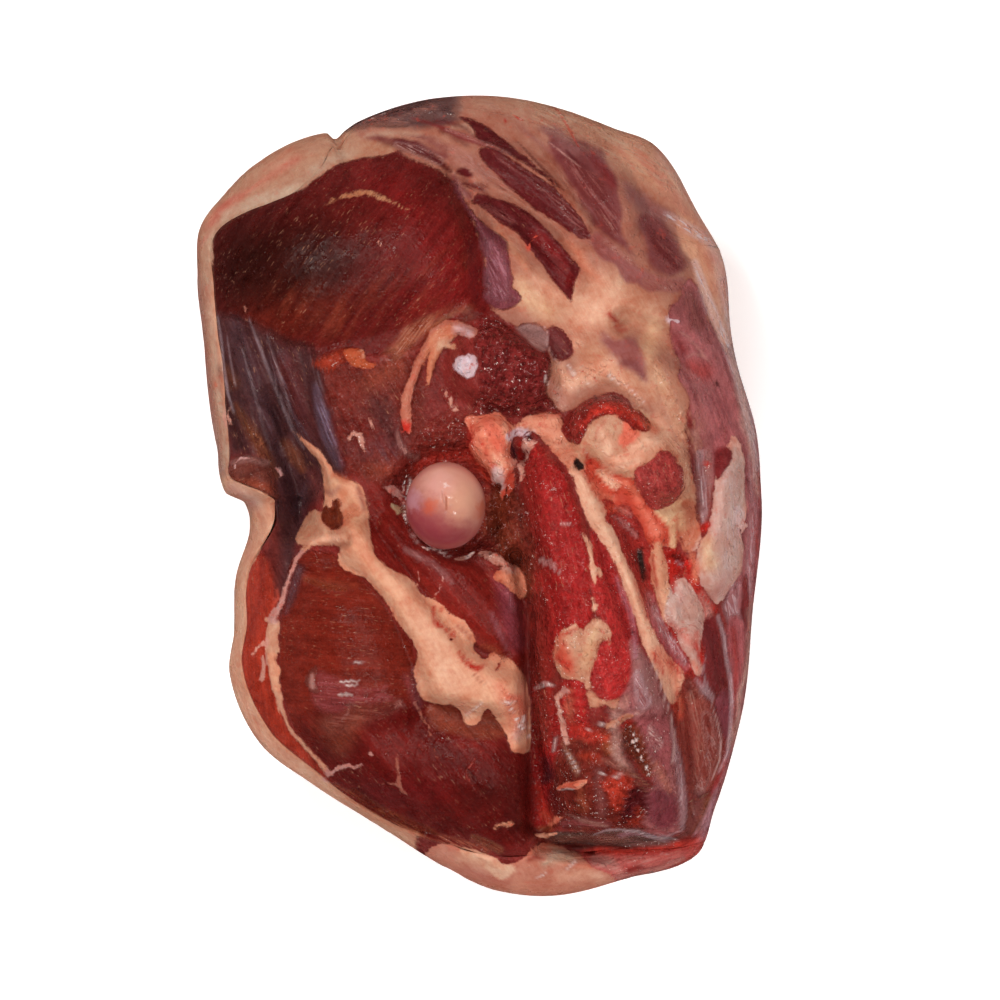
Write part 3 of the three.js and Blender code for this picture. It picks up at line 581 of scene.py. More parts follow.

# %% [markdown]
# ## The strips and the flank
#
# Strips of lean lie in fat at the upper right, cut across their length. Each is a spine of lean on a
# bed of fat, and the flank beside them is fat with a thin skin over it.

# %% Upper right: strips of lean in fat, flank
# wet fat over the hip joint, with painted glints as thin white lines
add_layers("The upper right", """
fat warm brown, .6 up 0 rag .4 feather .5: -37 112,-30 122,-18 128,5 130,30 124,46 118,58 110,72 90,78 76,
  80 58,77 44,70 42,64 36,62 26,62 12,66 0,60 -6,56 2,52 16,46 27,42 31,36 30.5,30 27,24.8 24.5,21 29,20 33,
  22 41,18 46,12 50.5,4 54,2 62,1 72,-2 82,-5.5 91,-10 97,-20 100.4,-24 103,-24 106,-36 108
glaze top fat, 6 .9: 0 119 2,24 116 4,42 106 5,56 96 5,64 86 3
glaze warm fat, 5 .8: 46 103 4,56 94 5,66 82 3
glaze cream, 5 1: 15 62 4,24 56 5,40 58 8,52 54 4,52 44 2,34 42 5,56 30 4,60 16 3
glaze bright cream, 5 .75: 30 52 4,38 58 5,36 64 3
glaze bright cream, 3 .6: 27 60 1,22 60 2,18 66 1
glaze yellow cream, 3 .7: 11.6 64 1.4,14 59 2.4,20 55 2
glaze yellow cream, 3 .6: 52 50 2,50 42 2,55 33 2
stain lip red, 2 .3 streaked -50: 44 104 2,54 96 4,62 86 3
film beige, 2 .5 streak 1 grain -28: 20 114 4,44 104 5,56 94 4
glaze orange fat, 1.6 .8: 26 76 .6,30 72 1.4,32 68 1.4,36 64 .8
# dried skin and thin streaks along the top
stain dried skin, 1.6 rag 1.4: -43 108.5,-38 114,-32 121,-16 127,-8 124,-6 118,-8 114.6,-6 112.4,-9 110.4,
  -16 110.8,-24 110.6,-32 110.8,-36 110.4
film black skin, 1.2 .9 streak 1 grain -8: -40 110 .8,-30 113.4 2,-16 114.6 3,-8 114.6 1.4
stain black skin, 1 .8: -40 110.6 .6,-34 114.6 1.2,-26 117.8 1.2,-16 119.4 .8
film tan mauve, 1 .6 streak 1 grain -8: -34 112 1,-24 112 1,-14 116.6 1
stain green black, .4 .85 rag .4: -34 110.8 .2,-27 110.6 .35,-21.6 110.8 .15
stain brown fat, 1.2 .85: -15 104 1,-8 101.6 3,-2 99 2.4,2 96 2
stain beige, .8 .6 rag .4: -34 108 .4,-26 108.6 .8,-20 108.6 .7,-16 107.4 .3
stain maroon, .5 rag .6: -27.6 107.2,-22 107.2,-17.6 105.4,-16 103.6,-12 101.6,-9 99,-7.6 96.6,-10 98,
  -13 99.6,-17 101,-20 103,-23.6 105
film pale mauve, .5 .7 streak 1 grain -28: -25 105.4 .8,-19 103.6 1.6,-12 100.4 1.4
stain streaky plum, .5 rag .6 streaked -24: -20 106 .6,-15 104.6 1.6,-10 102 1
stain maroon, .35 rag .5: -6.8 98.2,-4.4 98.8,-3 97.4,-1.4 95.8,-3.4 95.4,-5.6 96,-7 97
stain maroon, .4 .85 rag .5: -5 94 .3,-2 92.6 .6,1 91.6 .3
stain plum grey, .6 .9 rag .5: -8 96 .8,-6 92.4 1.2,-3 89.6 .9
film maroon, .5 .6 streak .9 grain -30: -8 95 .8,-3 92 1.4,2 93 1
film dusky fat, 1 .5 streak .9 grain -34: -8 104 1,-2 100 2,4 95 1.4,9 91 1
glaze beige, .7 .7: -8 110.6 .5,-4 110.8 1,-2 108.6 .5
stain streaky plum, 1 .85 rag .7 streaked -12: -34 107 .6,-26 107 1.4,-16 106.6 1.4,-10 104.6 1
stain maroon, 1.2 .8 rag .8: -30 106.4 .4,-24 104.6 .9,-19 103.4 .6 | -12 109.6 .4,-7.6 108 .9,-3 105.4 .5
stain maroon, 1.4 .75 rag .8: -5 95.6 .4,0 92 1,4 88.4 .6
stain dark plum, .9 .85 rag .7: -13 112.6 .6,-8 111.6 .6,-3 108.6 .5,3 105.8 .4
stain plum grey, 1.4 .7 rag .8 streaked -40: 0 117 .6,8 113.6 1,15 109 1.2,21 103 1
stain warm fat, 1.4 .8: 5 80 .4,8.6 75.4 1,12.6 71 1,14 68 .6
# strips of lean
lean maroon, grain -38 rag .3 up -.6 shoulder 1.4 feather .35: -7 113.8,-3 113,1 111.4,5 108.7,9 105.4,
  13 102,17 98.6,20 96,23 93.4,25 91.4,24 91.8,20 94.9,16 97.8,12 100.6,8 102.8,4 104.8,0 106.4,-1.2 107.8,
  -2 110,-4.4 112
stain maroon red, .5 .9 rag .4: -20 113.4 .2,-12 110.6 .6,-6 108 .8,0 105.8 .8,4 104.2 .5,9 102.4 .2
film dusky fat, .4 .8 streak .9 grain -24: -10 109.8 .4,-2 106.8 .5,4 104.6 .5,9 102.2 .4
lean maroon, grain -40 rag .35 up -1 shoulder 2.2 feather .35: -.6 103.8,1 104.6,4 104.2,7 102.6,11 100,
  15 97,19 94.4,22.4 92.2,25 89.6,28 86,30.6 82.4,33 79,34.6 76.6,32 76.8,29 77,26 79.6,22 82.6,19 84.4,
  16 86.4,13.6 88.6,11 91,8 93,5 96,2 98.8,0 101.6
film dusk, .8 .6 streak 1 grain -40: 6 101 .6,14 96 .9,22 90 1.2,29 82 1.6,33 78 .9
stain maroon, .35 .85: 11 106.4 .1,14 103.4 .2,18 99 .35,22 95 .35,25 91.6 .15
lean maroon, grain -44 rag .3 up -1.4 shoulder 2.6 feather .35: -1 90.4,1 90.2,4 89.4,8 88.4,12 86.6,
  15 84.6,18 81.6,21 78.6,24 75.4,27 72,29.4 69,30 67.6,29 65.6,28.2 64,28 61,27.8 57.6,26 59.6,23 63.4,
  20 67.4,17 71.6,14 75.4,12 77.8,10.6 79.2,8 80.6,5.4 82.4,3.4 84.6,1 86.2,-1 87.4,-3 87.6,-2 89
film dusk, .6 .6 streak 1 grain -36: 1 87 .6,7 84 1,10 82 .6
wash rump bright, 2.4 .75: 17 78 1,23 71.6 1.6,27 64 1
fat brick, up .3 rag .3 feather .12: 18 78.2 .2,16.6 77.6 .3,15.4 76 .25,15.2 74.6 .15
lean membrane, .4 grain -80 rag .5 up -.8 shoulder 2 feather .35: -8 95.6,-6.6 93,-4 87.4,-1 83.6,2 80.6,
  6 78,8.6 76,8.8 71,9.4 67,10 65,9.6 62,11.6 61,13 58.6,11 56.6,6 55.4,4 56.4,2 58.6,1 60.4,2 61.6,1 64,
  .6 67,2 69,2 71,0 74,-.4 80,-4 86,-7.6 92
film lilac edge, .8 .5 streak .9 grain -60: 3 76 1,5 69 3,6 61 2.6
lean grey membrane, .5 grain -30 rag .5 up -.5 feather .4: 10.4 50.6,14 51.8,19 51,21 48.5,20.4 44,18.4 43,
  15.6 45.4,12.6 48.2
lean dark plum, .4 grain -50 rag .4 up -.8 feather .35: 20.4 51,24 50.8,27.8 46,28.4 42.4,25 40,22.4 41,
  20.8 43.6,20.4 48
film white, .25 .85 streak .1: 19 51.4 .1,20.6 48.6 .3,20.4 45 .25,22.2 41 .3,24 39.6 .1
# the fibrous flank: two dark fields with streaks of fat between them
stain streaky plum, 1.1 rag .9: 18 111,21 109.6,27.6 106.6,31 106,34 104,37 103.6,38 101,39 98,40.6 95.4,
  41.6 93,41.6 90,42.6 87,43 84,42 81,42.6 78.6,44 75.4,45.6 72.6,47 70.4,44 73,40 76.6,36 79.6,33 82.6,
  31.6 85,30 88,28 92,26 95,24 98,22 102,20 104.5,21 107
stain dark plum, 1.8 .9 rag 1: 24 102 1,30 97 3,35.6 89 3.6,40 80 1.8
stain maroon red, 1.4 .8 rag 1: 34 101 1,37 98 1.4,39.6 93 .8
stain plum grey, 1.4 .9 rag .8: 18.6 110.4 .8,22 109.6 1.4,26 105.6 1.8,29 102.6 1.2
film dusk, 1 .6 streak 1 grain -56: 26 100 1,33 94 3,38 86 3.4,41 79 1.4
film tan mauve, .8 .7 streak 1: 24 97 .8,29 90 1,33 83.6 .8
film dusky fat, .3 .9 streak .1: 21 105.8 .15,25 102.6 .3,30 98.6 .15
stain maroon, .4 .85: 26 103.4 .3,28 101 .6,29.6 99.6 .3
film dusky fat, .3 .6 streak .3: 36.8 84 .1,38.4 82 .3,40 79.6 .15
stain plum grey, 2.2 .9 rag 1.2: 44 92.6 1,47 89 2.4,51 86 2.4,55 84.4 1.6
stain streaky plum, 1.4 rag .9: 46.4 82,48 85,52 84.8,56 82,58.4 78,60 75,61.6 71,62.4 68.4,60 66.4,57 65.6,
  54 66.4,51 68.4,50 72,49.6 76,48 79.6
stain dark plum, 1.6 .9 rag .8: 51 80 1,54.6 75 2.6,58 70 2.4
film dusk, 1 .6 streak 1 grain -46: 50 83 1.6,54 77 3.4,58 70 3.4
film pale mauve, 1.6 .5 streak 1 grain -30: 52 85.6 1,58 82.4 1.6,61 78 1
film brown fat, 1 .8 streak .3 grain -64: 42.6 90 .6,44.6 84 .9,46 77 1.2,48.6 71 1
stain dusk, .6 rag .5 up -.4 shoulder 1.6: 35 79.6,38 77.6,41 74.6,44 71.6,47 69.4,50 67.4,54 65.6,58 65,
  62 66,61.6 62,58 60.6,54 61,51 61,49 62.4,46.6 63.6,44 64,42.6 66,41 68.4,39.6 69.6,37 69.8,35.6 71.4,
  34.4 74,33 76.6,34 78.4
film brown fat, .5 .85 streak .6 grain -40: 34 79 .4,39 75 .9,44.6 70.6 .8,50 67 .6,54 65.6 .2
film tan mauve, 1.2 .7 streak .7 grain -36: 50 64 1.4,56 63 2,60 63.6 1.4
film dusk, .8 .6 streak 1 grain -44: 30 79 1,33 76 1,36 77.6 .8
stain crimson, .35 .9 rag .3 up -.8 shoulder 1.4: 38.2 55.4,39.4 54.6,42 51.4,44.6 49,43.4 48.4,41 50.4,
  39.4 53
stain dusk, 1.1 rag .8 up -.5 shoulder 2: 36.4 50,38 48,41.6 46.6,45 48,47 47.6,48.6 44.6,49.6 41,50 38,
  51 34,49 35.6,46 37,43 37.8,41 40,39 43,37 45.6,36 47.6
stain streaky plum, .9 .9 rag .8: 43 40 .8,46 39 1.4,49 36 .8
film tan mauve, 1.6 .7 streak 1 grain -60: 54 40 1.6,56 32 2.4,59 22 2.4,62 14 1.6
film bright cream, .8 .7 streak 1: 53 38 .8,57 28 1.6,61 19 1.4
# the inner thigh, mauve under its membrane
lean mauve, .8 grain -68 rag .9 feather .5: 56.4 56,60 59.6,60.4 63,64 66,66.5 60,68.4 53,72 46,76 38,92 26,
  96 6,96 -30,90 -60,82 -92,70 -100,72 -84,75 -66,76.5 -50,76 -36,73 -32,78 -22,79.5 -8,80 4,79 12,77.4 18,
  74 15,70.4 6,68.6 1,68 5,66 14,64 24,61.5 32,59.4 38,59.6 41,58 45,57 47,57.4 49,57 52.6
wash streaky plum, 2 .9: 58.6 55 1,63 60 2,65 52 3
film dusk, 1 .6 streak 1 grain -78: 62 61 2,66 53 3,69 47 1.6
wash maroon red, 1.6 .9: 58.6 47.6 .8,61 43.6 1.4
wash crimson, 2.5 .7: 63 39 1.6,67 37 2.4
wash mauve red, 4 .8: 72 27 2.4,74 14 2
wash skin, 3 .8: 82 14 1.4,82.6 4 2,83 -20 3,79 -50 3
wash crimson, 1.2 .7 streaked -80: 82 20 1,83 4 1.6,83 -16 1.6,81 -40 1
film dusky fat, .35 .8 streak .2: 59.6 49.8 .15,64 46 .4,67 42.4 .4,69.4 39.6 .15
film dusky fat, .35 .7 streak .2: 62 41.4 .1,64.4 42.6 .35,67 41.4 .3
film tan mauve, 2 .5 streak 1 grain -68: 62 36 1.4,66 24 2,67 12 1.4
film cream, .4 .75 streak .3: 58 27 .2,61.6 21 .35,64.6 15 .35,67 6 .35,68.2 0 .2
film cream, .4 .6 streak .3: 62 27 .1,65.4 19 .3,67.8 10 .3,69 4 .1
film pale mauve, .4 .6 streak .5: 57.6 41.6 .1,61.6 38 .35,66 34.6 .3,69 30 .1
fat lilac, up .3 rag .3 wet 1 feather .15: 57.6 52.8 .3,59.4 52.2 .6
lean dark, up -1 shoulder .8 rag .1: 70.6 34.6 .15,71.1 33.7 .45,71.5 32.8 .2
# the pale edge of the flank, with blue-white membrane along it
fat warm fat, 1 up .2 rag .7 feather .8: 60 83,64 82,70 78,80 74,82 60,80.6 49,76 44,73.4 47,70.6 53,
  68.6 59,66.4 65,64 71,61 77
glaze mauve cream, 2 .85: 71 74 1.4,74 66 2,75.4 54 2.4,77 46 1.2
glaze orange fat, 1.6 .5: 66 76 1,69 70 1.4,70.6 62 1.2
stain lip red, 1 .6 streaked -72: 70 72 1,72.6 70 1.4,75.6 58 1
film blue white, 1 .8 streak .9 grain -30: 56 84 .8,62 80.6 1.6,67 77.6 1.4,70 75 .6
film blue white, 1 .85 streak .5 grain -66: 64.6 70 .8,66.5 64 1.2,68.6 58 1.5,71.4 51.6 1.4,74.6 44 1.4,
  78 35 1.5,80.6 24 1.2,83.4 8 .5
film lilac, 1.2 .6 streak 1 grain -72: 73.6 64 1.6,75.4 54 1.6,76.6 46 1,80 34 1.2
film white pink, .4 .8 streak .2: 68 57 .15,71 50 .35,75.6 40.6 .5,79 31 .5,80.8 20 .2
fat rose, .8 up .5 rag .6 feather .6: 69.6 5,72.6 12,76.4 18.4,78.4 16,79.4 10,80 0,80 -12,77 -8,72 -2
# small vessels in the fat along the top
blood, .3 .8: 22 118 .15,26 111.4 .25,29.6 104.6 .15
stain crimson, .35 .9: 7.4 113 .25,7.8 112.2 .45
blood, .3 .8: 10.4 114 .1,11.6 113.2 .35,13.2 112.5 .15
blood, .3 .5: 33.6 103 .3,34.6 102.4 .4
# wet fat over the hip joint
glaze bright cream, 2 .8 wet 1: 36 40 1,42 35 1.5,48 28 1 | 24 42 1,29 46 1
glaze pink white, 1.5 .9 wet 1: 20.6 34 1.4,23 31 1.6,25 27 .8
film wet white, .3 .7 streak .3 grain -60: 26.4 39.4 .1,28 37 .3,29 34.6 .1
film wet white, .3 .7 streak .3: 30.4 38.4 .1,31.8 36 .25,32.6 33.4 .1
film wet white, .4 .8 streak .5: 38 37 .1,39.6 35.4 .5,41.6 33.6 .1
film wet white, .3 .7 streak .3: 43 34 .1,46 31 .3,49 28 .1
film wet white, .3 .7: 20 36.4 .2,19.6 34.6 .35,21 33 .2
form, up -1.2 shoulder 4: 24 38 2,32 36 4
glaze bright cream, 2.4 .9 wet .9: 23.6 38 1.4,27 34 2.4,31 36 3,36 37 2.4,40 40 1
stain dusky fat, 1.6 .75 rag .6 streaked -84: 64.6 19 1,66.4 13 2,67.4 6 1.2
""")

# %% [markdown]
# ## The joint's fat and the inner band
#
# Soft fat fills the joint, and a long red band of muscle runs from it to the shank end. The band is
# smooth and moist, so its tints are soft and its streaks follow the grain.

# %% The joint's fat and the inner band
# painted glints: thin bright lines on the wet membrane and the band
# painted shade along the main cleft
add_layers("The joint", """
fat cream, up 1 shoulder 3 rag .6 wet .5: 28 17,32 26,40 28,48 25,54 20,60 12,65 2,65 -8,60 -12,54 -10,
  48 -6,40 2,34 8,28 8,25 12
glaze cream, 2 .6 wet .8: 54 24 1,60 16 2,64 6 2
glaze bright cream, 1.6 .8: 36 20 1,38.6 15 1.4,38 9.6 1
glaze bright cream, 2.5 .95: 46 14 2,50 16 2.4,54 16.4 1.5
form, up 1.2 shoulder 3: 47 15 1.5,52 16.4 1.5
form, up -1 shoulder 1.2: 41.6 20 .2,42.6 15 .4,43.6 10 .2
lean crescent, up 1.4 shoulder 2.2 rag .7 wet 1 coarse .8: 24 20.4,27.6 25,31 28.4,35.6 30.2,41 30,46 27.4,
  49.4 23.8,51.4 20.8,49.4 19.4,47 19.6,45.4 20.6,44 22.4,42 22.6,41.4 24.6,37 24.4,33 22,31 18,29.8 14.4,
  27.6 15.6,25.6 18
wash fresh blood, 1.8 .95: 34 25.4 .5,38 26.4 1.3,42 26.4 1.4,45.6 24 1.1,48 21.4 .9
stain blood orange, 1.6 .8: 50 21.6 .6,52.6 19.6 1
glaze bright cream, 2 .9: 53 23 1,56.6 19.6 1.4,60 14 1
film pale mauve, .8 .5 streak .7: 34 29.4 .4,41 29.4 .7,46 27 .4
fat pink fat, up .8 rag .6 wet 1: 44.6 21 .8,45.4 18.6 1.1,43 16.6 .5
blood, .6 .6: 37.6 22.6 .2,35.4 19.6 .3,34.8 17 .1
lean hip mauve, up 1.4 shoulder 2.8 grain -70 rag .9 coarse .6 wet .8: 46 3.4,46 8,48.4 9,50.4 8.6,51.6 11,
  54.4 14,57 13,60.4 9.4,62 4,59.4 -1.6,54.6 -4.6,50.6 -3.4,50 -1,47.6 .4
fat bright cream, up 1.1 shoulder 2 rag .8: 41 10 1,45 10.6 1.4,48 11.4 .8
fat cream, up .6 rag .4: 47.6 2 .4,48.8 -2 .7,52 -6 1.6,57 -8 2
blood, .8 .9: 31 14 .4,33.4 9.6 .8,36.4 6.4 .8,39 4 1,42 1.4 .8
# brown floor beside the ball
lean brown floor, 2 grain -75 coarse .8 rag 1 wet .9: 2 2,8 5,12 3,16 -5,17 -20,16 -32,10 -30,6 -20,2 -10
# the inner band
lean bright, .8 grain -76 coarse .5 rag .8 wet .7 up .6: 14 9.6,16.4 16.8,19.4 13.4,23.4 9.4,26 5.6,28 .6,
  31 -8,32.6 -16,33 -28,35 -36,31 -40,26 -40,22.6 -48,22 -60,23.6 -74,22 -88,24 -98,14 -101,15.6 -84,15 -62,
  15 -44,16.4 -28,17 -16,14 -4,11 0,11 6
wash berry, 4 .8: 17 10 2,20 2 2,20 -10 2
fat salmon, up 1 rag .8 wet 1 shoulder 1: 8.6 7.6 .6,7.8 4 .9,6.8 .6 .6,6.6 -1.6 .2
fat orange red, .6 up .6 rag .9 wet 1: 10 6.4 .6,9.6 3 1.3,8.6 .4 .8
fat rose, up 1.2 rag .7 wet 1 shoulder .9: 11.4 10.4 .5,12.6 8.6 .9,13 6.2 .6,12.2 4.6 .2
wash raw brown, 5 .95: 13 6 1.4,13 -6 3,16 -20 3
wash raw brown, 4 .9: 18 -30 2,18 -50 3,20 -72 2
wash dark, 2 .5: 15 -34 .3,15 -60 .4,17 -76 .8,20 -84 1
fat pink white, up .4 rag .2 wet 1: 21.2 -.6 .4,21.3 -.8 .5
lean berry, .5 grain -72 coarse .5 rag .6 wet .7: 33 -8,38 -10,43 -20,46 -32,48 -44,47 -54,44 -59,38 -62,
  33 -58,32 -52,35 -45,39 -41,36 -36,33.6 -30,33 -20
lean raw brown, 1 grain -40 coarse .6 rag 1 wet .8: 24 -70,30 -71,38 -68,43 -72,44 -78,38 -81,30 -80,25 -78
wash blood orange, 4 .65: 28 -73 1.5,36 -76 2,40 -74 1
fat pale cream, up 1.2 shoulder 1.2 rag .5: 31 -11 .3,32.6 -15 .7,33.6 -19 .6,34 -23 .8,34.4 -26 .4
fat pale cream, up .9 shoulder 1 rag .5: 33.4 -21 .4,35.4 -22.6 1,36.4 -24.4 .3
fat pale cream, up .8 shoulder 1 rag .6: 34 -30.4 .3,34.8 -32.6 .9,34.4 -34.4 .4
fat cream, up 1.2 shoulder 2 rag .6 wet .9 feather .4: 22.6 -43,24.5 -40,26.6 -38.3,29 -38,30.4 -40,
  31.6 -38.6,34 -37.2,36 -36.6,38 -38.6,39.2 -41,39 -45,38 -42.4,36.4 -43,35.2 -45,34.8 -48,33.4 -51,
  32.6 -54,33.5 -58.4,35.4 -60.2,38.6 -61.6,43 -59.6,43 -63,40 -65,38.4 -62.6,35.4 -62,33 -64.4,32 -60,
  30.6 -55.6,27 -55,25 -55.4,24 -52.6,22.6 -49,22.4 -46
glaze orange red, 1.6 .9 wet 1: 24 -43 1,25 -47 2,26.6 -52 1.6
glaze yellow cream, 1.2 .9: 34.6 -40 .8,32.6 -46 1.4,31.6 -51 1
glaze pale cream, .6 .9: 26 -39.4 .4,28.4 -38.6 .6 | 34.6 -37.6 .6,37 -38.4 .7,38.4 -41 .4
lean brick, rag .5 up -.5 wet 1: 30.6 -40.6 .3,30.8 -42.6 .3,30.4 -44 .1
blood, .8 .95: 24.6 -41.6 .5,27 -40.6 .5,29 -39.8 .3
blood, .8 .85: 22.8 -46 .5,23.6 -49 .8,26 -50.6 1,27 -48 .5
lean bright, 1.2 up .5 rag 1 wet 1 coarse .4 grain -80: 25 -55,31 -55.4,32 -60,32.4 -65,32 -72,26 -73,
  22.4 -70,22 -65,23.6 -60
wash salmon, .8 .5 streaked -84: 27 -58 .8,26.4 -66 2,25.4 -71 1.6
fat dusky fat, up .8 rag .4 wet 1 feather .2: 23.4 -61.6 .4,24 -59 .6,25.6 -57.4 .5,27 -59 .5,26.4 -61.6 .4
film wet white, .3 .7: 31.6 -70.4 .15,35 -68.9 .3,38 -67.6 .3,39.6 -66.4 .15
film wet white, .4 .7 streak .9: 17 -57.4 .5,20 -56 .7,22 -56.6 .4 | 18.6 -19.4 .6,21 -20 .9,23.8 -23 .3
film wet white, .4 .6 streak .9: 24.6 -8.4 .5,26.6 -8.4 .5
fat rose, up 1.2 rag .8 wet 1: 23 -60 .6,24.4 -66 .9,26 -74 .8,29 -82 .6
fat blood orange, up 2 shoulder 1.6 rag .7 wet 1: 23 -86,27 -84.4,30 -84.6,32.6 -84.4,31 -86.6,29 -88,
  25 -87.6
blood, 1.2 .9: -1.6 21.6 .5,-2 18.6 .9,-2.6 15 .5,-2 12 .3
stain salmon, .8 .85 streaked -62: 1 21 1,3.6 16 1.8,5.6 9 1.4,6.4 5 .5
blood, .7 .8: .6 17 .2,2 12.6 .35,4.2 8 .15
fat white pink, up .8 rag .5 wet 1 shoulder .8: 5 7.6 .2,5.7 5.4 .5,6.1 3 .25
fat pink fat, up 1 rag .6 wet 1 shoulder .9: 2 22.6 .4,4.6 18.6 .9,6.6 14.6 .6
fat cream branch, up .8 rag .5 wet .9 shoulder 1: 17.4 19,18.6 17,21 14.8,24 11.4,26.8 7.6,28.4 4.6,29.6 7,
  28.8 10,26.4 13.6,24 17.6,21 20
stain brick, 1 .75: 17 24.4 .4,20.4 24.6 .6,23.6 24 .4
stain fresh blood, 1.2 .8: 30 20.4 .6,33.4 24.4 .7,38 26.4 1,43.6 25 1,47.6 21.8 .6
""")
